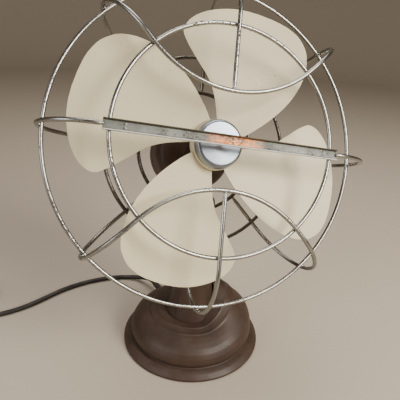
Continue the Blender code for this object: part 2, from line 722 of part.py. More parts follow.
FRONT_S = GUARD_MID_S + GUARD_HALF_S
REAR_S = GUARD_MID_S - GUARD_HALF_S
SPOKE_ROOT_R = MOUNT_RING_R + RING_WIRE_R + GAP
STACK = WIRE_R + RING_WIRE_R + GAP
WAVE_R = 105.0
WAVE_APEX = 43.5


def side_profile(front_radius):
    """Points (radius, s) of one guard wire from the small rear ring round to the front."""
    points = [(SPOKE_ROOT_R, REAR_S), (85.0, REAR_S)]
    for i in range(13):
        angle = math.radians(-90.0 + 180.0 * i / 12)
        points.append((GUARD_TURN_R + (GUARD_R - GUARD_TURN_R) * math.cos(angle),
                       GUARD_MID_S + GUARD_HALF_S * math.sin(angle)))
    if front_radius < 80.0:
        points.append((0.5 * (front_radius + GUARD_TURN_R), FRONT_S))
    points.append((front_radius, FRONT_S))
    return points


def wave_path(mirror):
    """The wire that runs from back to front, dips toward the hub and runs back again."""
    out = [polar(r, 45.0, s) for r, s in side_profile(WAVE_R + 3.0)]
    centre = WAVE_R * math.sqrt(2.0)
    dip = []
    for i in range(17):
        angle = math.radians(-45.0 - 90.0 * i / 16)
        dip.append((WAVE_R * math.cos(angle), centre + WAVE_R * math.sin(angle), FRONT_S))
    back = [(-x, y, s) for x, y, s in reversed(out)]
    return [(x, y * mirror, s) for x, y, s in out + dip + back]


def build_guard(head):
    """Three rings, the small mounting ring, the waves, spokes, bar and brackets."""
    roll = empty("guard_roll", (0, 0, 0), head, (0, 0, GUARD_ROLL))
    rings = (("guard_outer_ring", GUARD_R - STACK - 0.2, GUARD_MID_S - 2.0, 52),
             ("guard_front_ring", 103.0, FRONT_S - STACK, 44),
             ("guard_rear_ring", REAR_RING_R, REAR_S + STACK, 44),
             ("guard_mount_ring", MOUNT_RING_R, MOUNT_RING_S, 28))
    for name, radius, s, segments in rings:
        path = circle(radius, s, segments)
        add(name, sweep(path, RING_WIRE_R, closed=True), NICKEL, roll, sharp=80.0)
    add("guard_top_wave", sweep(wave_path(1.0), WIRE_R), NICKEL, roll, sharp=80.0)
    add("guard_bottom_wave", sweep(wave_path(-1.0), WIRE_R), NICKEL, roll, sharp=80.0)
    spokes = (("guard_right_spoke", 0.0, BAR_HALF + GAP), ("guard_top_spoke", 90.0, SPOKE_TIP_R),
              ("guard_left_spoke", 180.0, BAR_HALF + GAP), ("guard_bottom_spoke", 270.0, SPOKE_TIP_R))
    for name, degrees, front_radius in spokes:
        path = [polar(r, degrees, s) for r, s in side_profile(front_radius)]
        add(name, sweep(path, WIRE_R), NICKEL, roll, sharp=80.0)
    build_bar(roll)
    for i, degrees in enumerate(BRACKET_ANGLES):
        outer = MOUNT_RING_R - RING_WIRE_R - 3.0 * GAP
        strap = block((39.8, -4.5, MOUNT_RING_S - 2.4), (outer, 4.5, MOUNT_RING_S + 1.0))
        made = add(f"guard_bracket_{i + 1}", strap, STEEL, head, turn=(0, 0, degrees))
        add_bevel(made, 0.6, 1)


SPOKE_TIP_R = WAVE_APEX + WIRE_R + GAP
BRACKET_ANGLES = (20.0, 140.0, 260.0)
BAR_BACK_S = FRONT_S - STACK + RING_WIRE_R + GAP
BAR_DIMPLES = (-91.0, 3.5, 93.0)


def build_bar(roll):
    """The pressed channel bar across the front, with three pairs of small holes."""
    half = BAR_HEIGHT / 2.0
    lip = 3.6
    thick = 1.2
    back = BAR_BACK_S
    section = [(-half, back + lip), (-half, back + 0.6), (-half + 0.8, back), (half - 0.8, back),
               (half, back + 0.6), (half, back + lip), (half - thick, back + lip),
               (half - thick - 0.4, back + thick), (-half + thick + 0.4, back + thick),
               (-half + thick, back + lip)]
    shape = prism(section, -BAR_HALF, BAR_HALF)
    along_x = Matrix(((0, 0, 1, 0), (1, 0, 0, 0), (0, 1, 0, 0), (0, 0, 0, 1)))
    bmesh.ops.transform(shape, matrix=along_x, verts=shape.verts)
    bar = add("guard_bar", shape, NICKEL, roll)
    for i, x in enumerate(BAR_DIMPLES):
        for j, y in enumerate((-1.7, 1.7)):
            hole = add(f"cutter_dimple_{i}_{j}", disc(0.8, back - 2.0, back + 5.0, 8), None, roll,
                       (x, y, 0))
            combine(bar, hole, "DIFFERENCE")


def main():
    """Build the whole fan."""
    clear_scene()
    build_base()
    build_switch()
    build_cord()
    swivel = empty("swivel_axis", (0, 0, PIVOT_Z))
    build_swivel(swivel)
    build_wing_nut(swivel)
    tilt = empty("tilt_axis", (0, 0, 0), swivel, (90.0 - TILT_DEG, 0, 0))
    spin = empty("spin_axis", (0, AXIS_RISE, 0), tilt)
    build_motor(spin, tilt)
    build_rotor(spin)
    wheel_axis = empty("wheel_axis", (WHEEL_U, 0, GEAR_S), spin, (-90, 0, 0))
    build_gearbox(spin, wheel_axis)
    link_axis = empty("link_axis", (0, -CRANK_R, 0), wheel_axis)
    build_link(link_axis)
    build_guard(spin)


main()
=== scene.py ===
"""Looks of the desk fan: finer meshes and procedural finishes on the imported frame.

Lengths in this file are millimetres in a piece's own frame and become metres where a mesh
or a curve is made. The head frame has its Z along the blade axis, forward, and its X to the
right of someone who faces the fan.
"""
from __future__ import annotations

import json
import logging
import math
from collections.abc import Callable
from dataclasses import dataclass
from enum import Enum
from typing import Union

import bmesh
import bpy
from mathutils import Matrix, Vector

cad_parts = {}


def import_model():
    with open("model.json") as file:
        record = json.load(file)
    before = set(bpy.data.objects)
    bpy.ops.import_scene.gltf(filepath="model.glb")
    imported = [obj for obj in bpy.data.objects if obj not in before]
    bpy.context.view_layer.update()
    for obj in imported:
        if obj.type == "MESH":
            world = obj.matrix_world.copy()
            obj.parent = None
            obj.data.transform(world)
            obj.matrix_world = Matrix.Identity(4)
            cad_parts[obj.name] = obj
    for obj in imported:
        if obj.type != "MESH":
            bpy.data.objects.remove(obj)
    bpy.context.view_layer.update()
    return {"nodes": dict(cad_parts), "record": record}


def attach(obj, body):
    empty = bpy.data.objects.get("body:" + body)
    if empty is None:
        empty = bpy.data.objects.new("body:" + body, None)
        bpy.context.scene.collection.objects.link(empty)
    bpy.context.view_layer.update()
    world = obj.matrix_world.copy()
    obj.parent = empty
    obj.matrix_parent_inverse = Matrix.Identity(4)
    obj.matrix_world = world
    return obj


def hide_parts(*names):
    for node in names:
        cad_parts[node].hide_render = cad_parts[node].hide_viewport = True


LOG = logging.getLogger("desk_fan")
MM = 0.001
WIRE_EDGE = 80.0  # degrees over which an edge stays sharp, on wires and beads
CORD_EDGE = 60.0  # the same, on the cord
SHEET_EDGE = 50.0  # the same, on pressed sheet

Point = tuple[float, float, float]
Pair = tuple[float, float]
Colour = tuple[float, float, float]
Socket = bpy.types.NodeSocket
Feed = Union[Socket, float, tuple]
Reshape = Callable[[float, float, float, float], Pair]


class Body(Enum):
    """The moving groups that pieces ride on."""

    BASE = "base"
    HEAD = "head"
    ROTOR = "rotor"
    KNOB = "speed_knob"


class Slot(Enum):
    """The record's material slots, named with each finished piece."""

    BROWN = "enamel_brown"
    CREAM = "enamel_cream"
    NICKEL = "guard_nickel"
    SPUN = "spun_aluminium"
    BLACK = "black_plastic"
    CORD = "cord_rubber"


class Effect(Enum):
    """The shared shader groups."""

    MOTTLE = "tone_mottle"
    FLECKS = "pit_flecks"
    DUST = "settled_dust"
    SKIN = "fine_skin"
    SPUN = "spun_lines"


class Kind(Enum):
    """What a group's socket carries."""

    NUMBER = "NodeSocketFloat"
    VECTOR = "NodeSocketVector"
    COLOUR = "NodeSocketColor"


class Mixed(Enum):
    """What a mix node mixes."""

    NUMBER = "FLOAT"
    COLOUR = "RGBA"


class Sum(Enum):
    """The arithmetic that the finishes need."""

    PLUS = "ADD"
    MINUS = "SUBTRACT"
    TIMES = "MULTIPLY"
    ROOT = "SQRT"


# ------------------------------------------------------------------ shader node groups


class NodeBench:
    """Adds, sets and links the nodes of one shader tree."""

    def __init__(self, tree: bpy.types.NodeTree) -> None:
        """Keep the nodes and links of a tree at hand."""
        self.nodes = tree.nodes
        self.links = tree.links

    def feed(self, value: Feed, target: Socket) -> None:
        """Link a socket, or set a number or a colour.

        Args:
            value: What goes in.
            target: The input that takes it.
        """
        if isinstance(value, Socket):
            self.links.new(value, target)
        elif isinstance(value, tuple):
            target.default_value = (*value, 1.0)
        else:
            target.default_value = value

    def noise(self, place: Socket, scale: Feed, detail: float, rough: float = 0.55) -> Socket:
        """Add a noise texture.

        Args:
            place: Socket that gives the place.
            scale: Socket or number for the size of the grain.
            detail: Octaves.
            rough: Roughness of the octaves.

        Returns:
            The noise value.
        """
        node = self.nodes.new("ShaderNodeTexNoise")
        for name, value in (("Vector", place), ("Scale", scale), ("Detail", detail),
                            ("Roughness", rough)):
            self.feed(value, node.inputs[name])
        return node.outputs["Fac"]

    def sum(self, step: Sum, first: Feed, second: Feed = 0.0) -> Socket:
        """Add a step of arithmetic.

        Args:
            step: Which step.
            first: First value.
            second: Second value, where the step has one.

        Returns:
            The result.
        """
        node = self.nodes.new("ShaderNodeMath")
        node.operation = step.value
        self.feed(first, node.inputs[0])
        self.feed(second, node.inputs[1])
        return node.outputs[0]

    def times(self, first: Feed, second: Feed) -> Socket:
        """Multiply two values."""
        return self.sum(Sum.TIMES, first, second)

    def ramp(self, value: Feed, low: Feed, high: Feed, smooth: bool = True) -> Socket:
        """Map a value from low..high to 0..1.

        Args:
            value: The value.
            low: Where the ramp is 0.
            high: Where the ramp is 1.
            smooth: True for smooth ends, False for a straight ramp.

        Returns:
            The ramp.
        """
        node = self.nodes.new("ShaderNodeMapRange")
        if smooth:
            node.interpolation_type = "SMOOTHSTEP"
        for name, source in (("Value", value), ("From Min", low), ("From Max", high)):
            self.feed(source, node.inputs[name])
        return node.outputs["Result"]

    def mix(self, mask: Socket, first: Feed, second: Feed, what: Mixed = Mixed.COLOUR) -> Socket:
        """Mix two colours or two numbers by a mask.

        Args:
            mask: The mask.
            first: What shows where the mask is 0.
            second: What shows where the mask is 1.
            what: Colours or numbers.

        Returns:
            The mixture.
        """
        node = self.nodes.new("ShaderNodeMix")
        node.data_type = what.value
        for name, source in (("Factor", mask), ("A", first), ("B", second)):
            self.feed(source, node.inputs[name])
        return node.outputs["Result"]

    def between(self, mask: Socket, low: Feed, high: float) -> Socket:
        """Mix two numbers by a mask."""
        return self.mix(mask, low, high, Mixed.NUMBER)

    def split(self, vector: Socket) -> bpy.types.bpy_prop_collection:
        """Split a vector.

        Args:
            vector: The vector.

        Returns:
            Its X, Y and Z by name.
        """
        node = self.nodes.new("ShaderNodeSeparateXYZ")
        self.feed(vector, node.inputs[0])
        return node.outputs


class GroupBench(NodeBench):
    """Builds one shader node group with named inputs and outputs."""

    def __init__(self, effect: Effect, **numbers: float) -> None:
        """Start a group that takes a place and some numbers.

        Args:
            effect: Which shared effect it is.
            **numbers: Number inputs with their usual values, with underscores for spaces.
        """
        self.tree = bpy.data.node_groups.new(effect.value, "ShaderNodeTree")
        super().__init__(self.tree)
        self.inputs = self.nodes.new("NodeGroupInput")
        self.outputs = self.nodes.new("NodeGroupOutput")
        self.socket("Place", Kind.VECTOR)
        for name, value in numbers.items():
            self.socket(name.replace("_", " "), Kind.NUMBER, value)

    def socket(self, name: str, kind: Kind, default: float | tuple | None = None) -> None:
        """Add an input socket.

        Args:
            name: The socket's name.
            kind: What it carries.
            default: Its usual value.
        """
        made = self.tree.interface.new_socket(name, in_out="INPUT", socket_type=kind.value)
        if default is not None:
            made.default_value = default

    def result(self, name: str, kind: Kind, source: Socket) -> None:
        """Add an output socket and feed it."""
        self.tree.interface.new_socket(name, in_out="OUTPUT", socket_type=kind.value)
        self.feed(source, self.outputs.inputs[name])

    def given(self, name: str) -> Socket:
        """Return the group's own input."""
        return self.inputs.outputs[name]


def make_mottle_group() -> None:
    """Make a broad and fine colour drift between two tones."""
    fine_times, fine_share, middle, reach = 9.0, 0.3, 0.52, 0.3
    bench = GroupBench(Effect.MOTTLE, Scale=40.0, Spread=0.5)
    bench.socket("First Tone", Kind.COLOUR, (0.5, 0.5, 0.5, 1.0))
    bench.socket("Second Tone", Kind.COLOUR, (0.2, 0.2, 0.2, 1.0))
    place, scale = bench.given("Place"), bench.given("Scale")
    broad = bench.noise(place, scale, 3.0)
    fine = bench.noise(place, bench.times(scale, fine_times), 4.0, 0.7)
    blend = bench.sum(Sum.PLUS, bench.times(broad, 1.0 - fine_share),
                      bench.times(fine, fine_share))
    half = bench.times(bench.given("Spread"), reach)
    mask = bench.ramp(blend, bench.sum(Sum.MINUS, middle, half),
                      bench.sum(Sum.PLUS, middle, half))
    colour = bench.mix(mask, bench.given("First Tone"), bench.given("Second Tone"))
    bench.result("Colour", Kind.COLOUR, colour)
    bench.result("Mask", Kind.NUMBER, mask)


def make_fleck_group() -> None:
    """Make small rust and pit marks gathered in patches, as a mask and a pit height."""
    gather, mark_from, mark_to = 0.55, 0.78, 0.90
    bench = GroupBench(Effect.FLECKS, Scale=500.0, Cover=0.3, Patch_Scale=30.0)
    place = bench.given("Place")
    small = bench.noise(place, bench.given("Scale"), 4.0, 0.65)
    patch = bench.noise(place, bench.given("Patch Scale"), 2.0)
    pull = bench.times(bench.sum(Sum.MINUS, patch, 0.5), gather)
    reach = bench.sum(Sum.PLUS, small, bench.sum(Sum.PLUS, pull, bench.given("Cover")))
    mask = bench.ramp(reach, mark_from, mark_to)
    pit = bench.times(mask, -1.0)
    bench.result("Mask", Kind.NUMBER, mask)
    bench.result("Height", Kind.NUMBER, pit)


def make_dust_group() -> None:
    """Make dust that settles where a surface looks up, as a mask."""
    bench = GroupBench(Effect.DUST, Amount=0.3)
    bench.socket("Facing", Kind.VECTOR)
    up = bench.ramp(bench.split(bench.given("Facing"))["Z"], 0.25, 1.0)
    cloud = bench.noise(bench.given("Place"), 55.0, 5.0, 0.65)
    film = bench.times(bench.times(up, bench.ramp(cloud, 0.35, 0.7)), bench.given("Amount"))
    bench.result("Mask", Kind.NUMBER, film)


def make_skin_group() -> None:
    """Make the fine skin of a painted, plated or moulded surface, as a height."""
    peel_share = 0.35
    bench = GroupBench(Effect.SKIN, Scale=900.0, Wave_Scale=120.0)
    place = bench.given("Place")
    peel = bench.noise(place, bench.given("Scale"), 2.0)
    wave = bench.noise(place, bench.given("Wave Scale"), 1.0)
    height = bench.sum(Sum.PLUS, bench.times(peel, peel_share),
                       bench.times(wave, 1.0 - peel_share))
    bench.result("Height", Kind.NUMBER, height)


def make_spun_group() -> None:
    """Make concentric tool lines around a piece's own Z axis, as a height and a tone."""
    bench = GroupBench(Effect.SPUN, Lines=9000.0)
    axes = bench.split(bench.given("Place"))
    squares = [bench.times(axes[name], axes[name]) for name in ("X", "Y")]
    radius = bench.sum(Sum.ROOT, bench.sum(Sum.PLUS, *squares))
    join = bench.nodes.new("ShaderNodeCombineXYZ")
    bench.feed(bench.times(radius, bench.given("Lines")), join.inputs["X"])
    lines = bench.noise(join.outputs[0], 1.0, 3.0, 0.7)
    tone = bench.ramp(lines, 0.3, 0.7)
    bench.result("Height", Kind.NUMBER, lines)
    bench.result("Tone", Kind.NUMBER, tone)


def make_groups() -> None:
    """Build every shared shader group once."""
    for make in (make_mottle_group, make_fleck_group, make_dust_group, make_skin_group,
                 make_spun_group):
        make()


# ------------------------------------------------------------------ finishes


class MaterialBench(NodeBench):
    """One material with a Principled shader, wired socket by socket."""

    def __init__(self, name: str) -> None:
        """Start a material.

        Args:
            name: The material's name.
        """
        self.material = bpy.data.materials.new(name)
        self.material.use_nodes = True
        super().__init__(self.material.node_tree)
        self.shader = self.nodes["Principled BSDF"]
        self.place = self.nodes.new("ShaderNodeTexCoord").outputs["Object"]

    def group(self, effect: Effect, **values: Feed) -> bpy.types.bpy_prop_collection:
        """Place a shared group.

        Args:
            effect: Which group.
            **values: What goes into its inputs, with underscores for spaces.

        Returns:
            The group's outputs.
        """
        node = self.nodes.new("ShaderNodeGroup")
        node.node_tree = bpy.data.node_groups[effect.value]
        self.feed(self.place, node.inputs["Place"])
        for name, value in values.items():
            self.feed(value, node.inputs[name.replace("_", " ")])
        return node.outputs

    def dust(self, amount: float) -> Socket:
        """Return the mask of settled dust."""
        facing = self.nodes.new("ShaderNodeNewGeometry").outputs["Normal"]
        return self.group(Effect.DUST, Amount=amount, Facing=facing)["Mask"]

    def set(self, **values: Feed) -> None:
        """Set or link the shader's own sockets, with underscores for spaces."""
        for name, value in values.items():
            self.feed(value, self.shader.inputs[name.replace("_", " ")])

    def bump(self, height: Socket, depth: float, after: Socket | None = None) -> Socket:
        """Turn a height into a normal.

        Args:
            height: The height.
            depth: Depth in metres.
            after: Normal to build on.

        Returns:
            The normal.
        """
        node = self.nodes.new("ShaderNodeBump")
        self.feed(depth, node.inputs["Distance"])
        self.feed(height, node.inputs["Height"])
        if after is not None:
            self.feed(after, node.inputs["Normal"])
        return node.outputs["Normal"]

    def skin(self, scale: float, wave: float, depth: float) -> Socket:
        """Return a normal with a fine skin."""
        height = self.group(Effect.SKIN, Scale=scale, Wave_Scale=wave)["Height"]
        return self.bump(height, depth)


@dataclass(frozen=True)
class Enamel:
    """Baked enamel with tone drift, fine peel, dust and small chips."""

    name: str
    tone: Colour
    other: Colour
    rough: float
    coat: float
    dust: float
    drift: float = 38.0
    spread: float = 0.9
    dust_tone: Colour = (0.30, 0.26, 0.21)
    dust_rough: float = 0.85
    chip_cover: float = 0.10
    chip_tone: Colour = (0.03, 0.025, 0.02)
    chip_scale: float = 420.0
    chip_patch: float = 18.0
    chip_depth: float = 0.00008
    peel_scale: float = 800.0
    peel_wave: float = 90.0
    peel_depth: float = 0.00006

    def build(self) -> bpy.types.Material:
        """Make the material.

        Returns:
            The material.
        """
        bench = MaterialBench(self.name)
        mottle = bench.group(Effect.MOTTLE, Scale=self.drift, Spread=self.spread,
                             First_Tone=self.tone, Second_Tone=self.other)
        chips = bench.group(Effect.FLECKS, Scale=self.chip_scale, Cover=self.chip_cover,
                            Patch_Scale=self.chip_patch)
        dust = bench.dust(self.dust)
        chipped = bench.mix(chips["Mask"], mottle["Colour"], self.chip_tone)
        worn = bench.between(mottle["Mask"], self.rough, self.rough + 0.12)
        peel = bench.skin(self.peel_scale, self.peel_wave, self.peel_depth)
        bench.set(Base_Color=bench.mix(dust, chipped, self.dust_tone),
                  Roughness=bench.between(dust, worn, self.dust_rough),
                  Normal=bench.bump(chips["Height"], self.chip_depth, peel),
                  Coat_Weight=self.coat, Coat_Roughness=0.22, IOR=1.5)
        return bench.material


@dataclass(frozen=True)
class Plated:
    """Old bright plating with dull patches, pits and rust."""

    name: str
    bright: Colour = (0.44, 0.44, 0.42)
    dull: Colour = (0.20, 0.19, 0.17)
    rust: Colour = (0.035, 0.021, 0.013)
    rough: float = 0.20
    cover: float = 0.185
    fleck_scale: float = 460.0
    patch_scale: float = 14.0
    drift: float = 26.0
    spread: float = 1.3
    rust_rough: float = 0.8
    rust_metal: float = 0.1
    pit_depth: float = 0.00012
    skin_scale: float = 1400.0
    skin_wave: float = 260.0
    skin_depth: float = 0.00005

    def dress(self) -> tuple[MaterialBench, Socket]:
        """Wire the plating and its rust.

        Returns:
            The bench and the colour that reaches the shader.
        """
        bench = MaterialBench(self.name)
        mottle = bench.group(Effect.MOTTLE, Scale=self.drift, Spread=self.spread,
                             First_Tone=self.bright, Second_Tone=self.dull)
        flecks = bench.group(Effect.FLECKS, Scale=self.fleck_scale, Cover=self.cover,
                             Patch_Scale=self.patch_scale)
        rusted = bench.mix(flecks["Mask"], mottle["Colour"], self.rust)
        worn = bench.between(mottle["Mask"], self.rough, self.rough + 0.18)
        skin = bench.skin(self.skin_scale, self.skin_wave, self.skin_depth)
        bench.set(Base_Color=rusted,
                  Roughness=bench.between(flecks["Mask"], worn, self.rust_rough),
                  Metallic=bench.between(flecks["Mask"], 1.0, self.rust_metal),
                  Normal=bench.bump(flecks["Height"], self.pit_depth, skin))
        return bench, rusted

    def build(self) -> bpy.types.Material:
        """Make the material."""
        return self.dress()[0].material


@dataclass(frozen=True)
class WornLitBar(Plated):
    """Plating rubbed through to copper along part of the bar's own X axis, with a painted highlight
    on the lower lip and painted shade on the upper lip.
    """

    copper: Colour = (0.70, 0.24, 0.06)
    patch_from: float = -24.0
    patch_full_from: float = -10.0
    patch_full_to: float = 24.0
    patch_to: float = 36.0
    grain_scale: float = 160.0
    grain_spread: float = 0.7
    # painted highlight along the lower lip and painted shade along the upper lip, laid by height
    # across the bar
    painted_highlight: Colour = (0.62, 0.62, 0.60)
    polished_lip: Pair = (-3.3, -3.8)
    painted_shade: Colour = (0.10, 0.085, 0.06)
    painted_shade_lip: Pair = (3.6, 4.2)

    def build(self) -> bpy.types.Material:
        """Make the material.

        Returns:
            The material.
        """
        bench, under = self.dress()
        axes = bench.split(bench.place)
        starts = bench.ramp(axes["X"], self.patch_from * MM, self.patch_full_from * MM)
        ends = bench.ramp(axes["X"], self.patch_to * MM, self.patch_full_to * MM)
        grain = bench.group(Effect.MOTTLE, Scale=self.grain_scale, Spread=self.grain_spread)
        patchy = bench.times(bench.times(starts, ends), grain["Mask"])
        rubbed_and_lit = bench.mix(patchy, under, self.copper)
        # paint a highlight on the lower lip and shade on the upper lip
        for (low, high), tone in ((self.polished_lip, self.painted_highlight),
                                  (self.painted_shade_lip, self.painted_shade)):
            edge = bench.ramp(axes["Y"], low * MM, high * MM, smooth=False)
            rubbed_and_lit = bench.mix(edge, rubbed_and_lit, tone)
        bench.set(Base_Color=rubbed_and_lit)
        return bench.material


@dataclass(frozen=True)
class Spun:
    """Metal turned on a lathe, with fine rings and a fan-shaped glint."""

    name: str
    tone: Colour = (0.30, 0.33, 0.385)
    darker: float = 0.82
    rough: float = 0.30
    lines: float = 5200.0
    mark_tone: Colour = (0.20, 0.18, 0.16)
    mark_cover: float = 0.05
    mark_scale: float = 700.0
    mark_patch: float = 60.0
    line_depth: float = 0.00002

    def build(self) -> bpy.types.Material:
        """Make the material.

        Returns:
            The material.
        """
        bench = MaterialBench(self.name)
        spun = bench.group(Effect.SPUN, Lines=self.lines)
        marks = bench.group(Effect.FLECKS, Scale=self.mark_scale, Cover=self.mark_cover,
                            Patch_Scale=self.mark_patch)
        drift = bench.mix(spun["Tone"], self.tone, tuple(self.darker * c for c in self.tone))
        tangent = bench.nodes.new("ShaderNodeTangent")
        tangent.direction_type = "RADIAL"
        tangent.axis = "Z"
        bench.set(Base_Color=bench.mix(marks["Mask"], drift, self.mark_tone),
                  Roughness=bench.between(spun["Tone"], self.rough, self.rough + 0.10),
                  Metallic=1.0, Anisotropic=0.75, Tangent=tangent.outputs["Tangent"],
                  Normal=bench.bump(spun["Height"], self.line_depth))
        return bench.material


@dataclass(frozen=True)
class PlainMetal:
    """Bare steel, brass, bronze or copper with light wear."""

    name: str
    tone: Colour
    other: Colour
    rough: float = 0.36
    drift: float = 110.0
    skin_scale: float = 1500.0
    skin_wave: float = 300.0
    skin_depth: float = 0.00004

    def build(self) -> bpy.types.Material:
        """Make the material.

        Returns:
            The material.
        """
        bench = MaterialBench(self.name)
        mottle = bench.group(Effect.MOTTLE, Scale=self.drift, Spread=1.0,
                             First_Tone=self.tone, Second_Tone=self.other)
        bench.set(Base_Color=mottle["Colour"], Metallic=1.0,
                  Roughness=bench.between(mottle["Mask"], self.rough, self.rough + 0.2),
                  Normal=bench.skin(self.skin_scale, self.skin_wave, self.skin_depth))
        return bench.material


@dataclass(frozen=True)
class Moulded:
    """Rubber, phenolic or felt: a dull colour with a fine skin and dust."""

    name: str
    tone: Colour
    other: Colour
    rough: float = 0.55
    drift: float = 60.0
    dust: float = 0.25
    dust_tone: Colour = (0.22, 0.19, 0.16)
    skin_scale: float = 1200.0
    skin_wave: float = 200.0
    skin_depth: float = 0.00008

    def build(self) -> bpy.types.Material:
        """Make the material.

        Returns:
            The material.
        """
        bench = MaterialBench(self.name)
        mottle = bench.group(Effect.MOTTLE, Scale=self.drift, Spread=1.0,
                             First_Tone=self.tone, Second_Tone=self.other)
        bench.set(Base_Color=bench.mix(bench.dust(self.dust), mottle["Colour"], self.dust_tone),
                  Roughness=bench.between(mottle["Mask"], self.rough, self.rough + 0.15),
                  Normal=bench.skin(self.skin_scale, self.skin_wave, self.skin_depth))
        return bench.material


class Finishes:
    """Every finish of the fan, made once."""

    def __init__(self) -> None:
        """Build the materials."""
        self.brown = Enamel("brown_enamel", (0.056, 0.029, 0.017), (0.032, 0.0155, 0.009),
                            rough=0.50, coat=0.04, dust=0.06).build()
        self.cream = Enamel("ivory_enamel", (0.75, 0.675, 0.465), (0.70, 0.62, 0.415), rough=0.36,
                            coat=0.15, drift=16.0, spread=1.3, dust=0.12, chip_cover=0.055,
                            dust_tone=(0.40, 0.36, 0.29), chip_tone=(0.16, 0.11, 0.07)).build()
        self.nickel = Plated("aged_nickel").build()
        # a darker copy of the plating as painted shade for the wires behind the blades, with
        # heavier rust
        self.shaded_rusty = Plated("shaded_rusty_nickel", bright=(0.19, 0.18, 0.16), dull=(0.07, 0.062, 0.05),
                             rough=0.32, cover=0.26).build()
        # the bar: a rubbed copper patch, with a painted highlight on its lower lip and painted
        # shade on its upper lip
        self.bar = WornLitBar("rubbed_bar", bright=(0.17, 0.175, 0.16), dull=(0.10, 0.10, 0.088),
                           cover=0.215, rough=0.46, drift=60.0,
                           fleck_scale=620.0, patch_scale=30.0).build()
        self.spun = Spun("spun_aluminium").build()
        self.steel = PlainMetal("dull_steel", (0.25, 0.25, 0.25), (0.13, 0.125, 0.12)).build()
        self.brass = PlainMetal("dull_brass", (0.60, 0.43, 0.17), (0.40, 0.28, 0.12)).build()
        self.bronze = PlainMetal("bearing_bronze", (0.44, 0.27, 0.12), (0.30, 0.18, 0.09)).build()
        self.copper = PlainMetal("winding_copper", (0.55, 0.20, 0.08), (0.35, 0.12, 0.05)).build()
        self.rubber = Moulded("cord_rubber", (0.010, 0.0075, 0.006), (0.019, 0.014, 0.011)).build()
        self.black = Moulded("black_phenolic", (0.014, 0.012, 0.011), (0.024, 0.02, 0.018),
                             rough=0.28, skin_depth=0.00003).build()
        self.felt = Moulded("green_felt", (0.035, 0.055, 0.038), (0.06, 0.08, 0.06), rough=0.95,
                            skin_scale=2600.0, skin_depth=0.0004).build()

    def cad(self) -> dict[str, bpy.types.Material]:
        """Choose the finish of each frame node that stays visible.

        Returns:
            Finish by node name.
        """
        groups = (
            (self.steel, ("base_plate", "base_screw_1", "base_screw_2", "base_screw_3",
                          "neck_nut", "tilt_bolt", "tilt_wing_nut", "stator_core", "rotor_core",
                          "shaft", "worm", "crank_link", "guard_bracket_1", "guard_bracket_2",
                          "guard_bracket_3")),
            (self.copper, ("stator_coil_1", "stator_coil_2", "stator_coil_3", "stator_coil_4")),
            (self.bronze, ("swivel_bush", "front_bearing", "rear_bearing")),
            (self.brass, ("switch_bushing", "worm_wheel", "plug_blade_1", "plug_blade_2")),
            (self.rubber, ("strain_relief", "cord_plug")),
            (self.black, ("speed_switch", "oscillator_knob")),
            (self.brown, ("swivel_yoke", "gearbox_cover")),
            (self.felt, ("felt_pad",)))
        return {name: finish for finish, names in groups for name in names}


# ------------------------------------------------------------------ mesh helpers


def polar(radius: float, degrees: float, height: float = 0.0) -> Point:
    """Return a point from radius, angle and height."""
    angle = math.radians(degrees)
    return (radius * math.cos(angle), radius * math.sin(angle), height)


def clamp(value: float) -> float:
    """Keep a value within 0..1."""
    return min(1.0, max(0.0, value))


def ease(value: float) -> float:
    """Keep a value within 0..1 and give it smooth ends."""
    t = clamp(value)
    return t * t * (3.0 - 2.0 * t)


def finish_mesh(name: str, shape: bmesh.types.BMesh, place: Matrix, material: bpy.types.Material,
                sharp: float = 35.0, own_frame: bool = False) -> bpy.types.Object:
    """Turn a shape in millimetres into a placed, smooth shaded object.

    Args:
        name: Name of the piece.
        shape: The shape, which is freed.
        place: The piece's frame.
        material: Its finish.
        sharp: Angle over which an edge stays sharp, in degrees.
        own_frame: True for a piece whose finish is laid out along its own axes.

    Returns:
        The new object.
    """
    bmesh.ops.scale(shape, vec=(MM, MM, MM), verts=shape.verts)
    bmesh.ops.recalc_face_normals(shape, faces=shape.faces)
    if not own_frame:
        bmesh.ops.transform(shape, matrix=place, verts=shape.verts)
    mesh = bpy.data.meshes.new(name)
    shape.to_mesh(mesh)
    shape.free()
    mesh.shade_smooth()
    mesh.set_sharp_from_angle(angle=math.radians(sharp))
    mesh.materials.append(material)
    piece = bpy.data.objects.new(name, mesh)
    bpy.context.scene.collection.objects.link(piece)
    if own_frame:
        piece.matrix_world = place
    return piece


def join_rows(shape: bmesh.types.BMesh, low: list, high: list) -> None:
    """Skin the closed strip between two rings.

    Args:
        shape: The shape that takes the faces.
        low: Vertices of one ring, or a single one.
        high: Vertices of the other ring, or a single one.
    """
    count = max(len(low), len(high))
    for i in range(count):
        j = (i + 1) % count
        if len(low) == 1:
            shape.faces.new((low[0], high[i], high[j]))
        elif len(high) == 1:
            shape.faces.new((low[i], low[j], high[0]))
        else:
            shape.faces.new((low[i], low[j], high[j], high[i]))


def join_loops(shape: bmesh.types.BMesh, loops: list[list], closed: bool = False) -> None:
    """Skin a row of rings, and cap both ends unless it closes on itself.

    Args:
        shape: The shape that takes the faces.
        loops: The rings in order.
        closed: True when the last ring joins the first.
    """
    for low, high in zip(loops, loops[1:]):
        join_rows(shape, low, high)
    if closed:
        join_rows(shape, loops[-1], loops[0])
    else:
        shape.faces.new(loops[0])
        shape.faces.new(loops[-1])


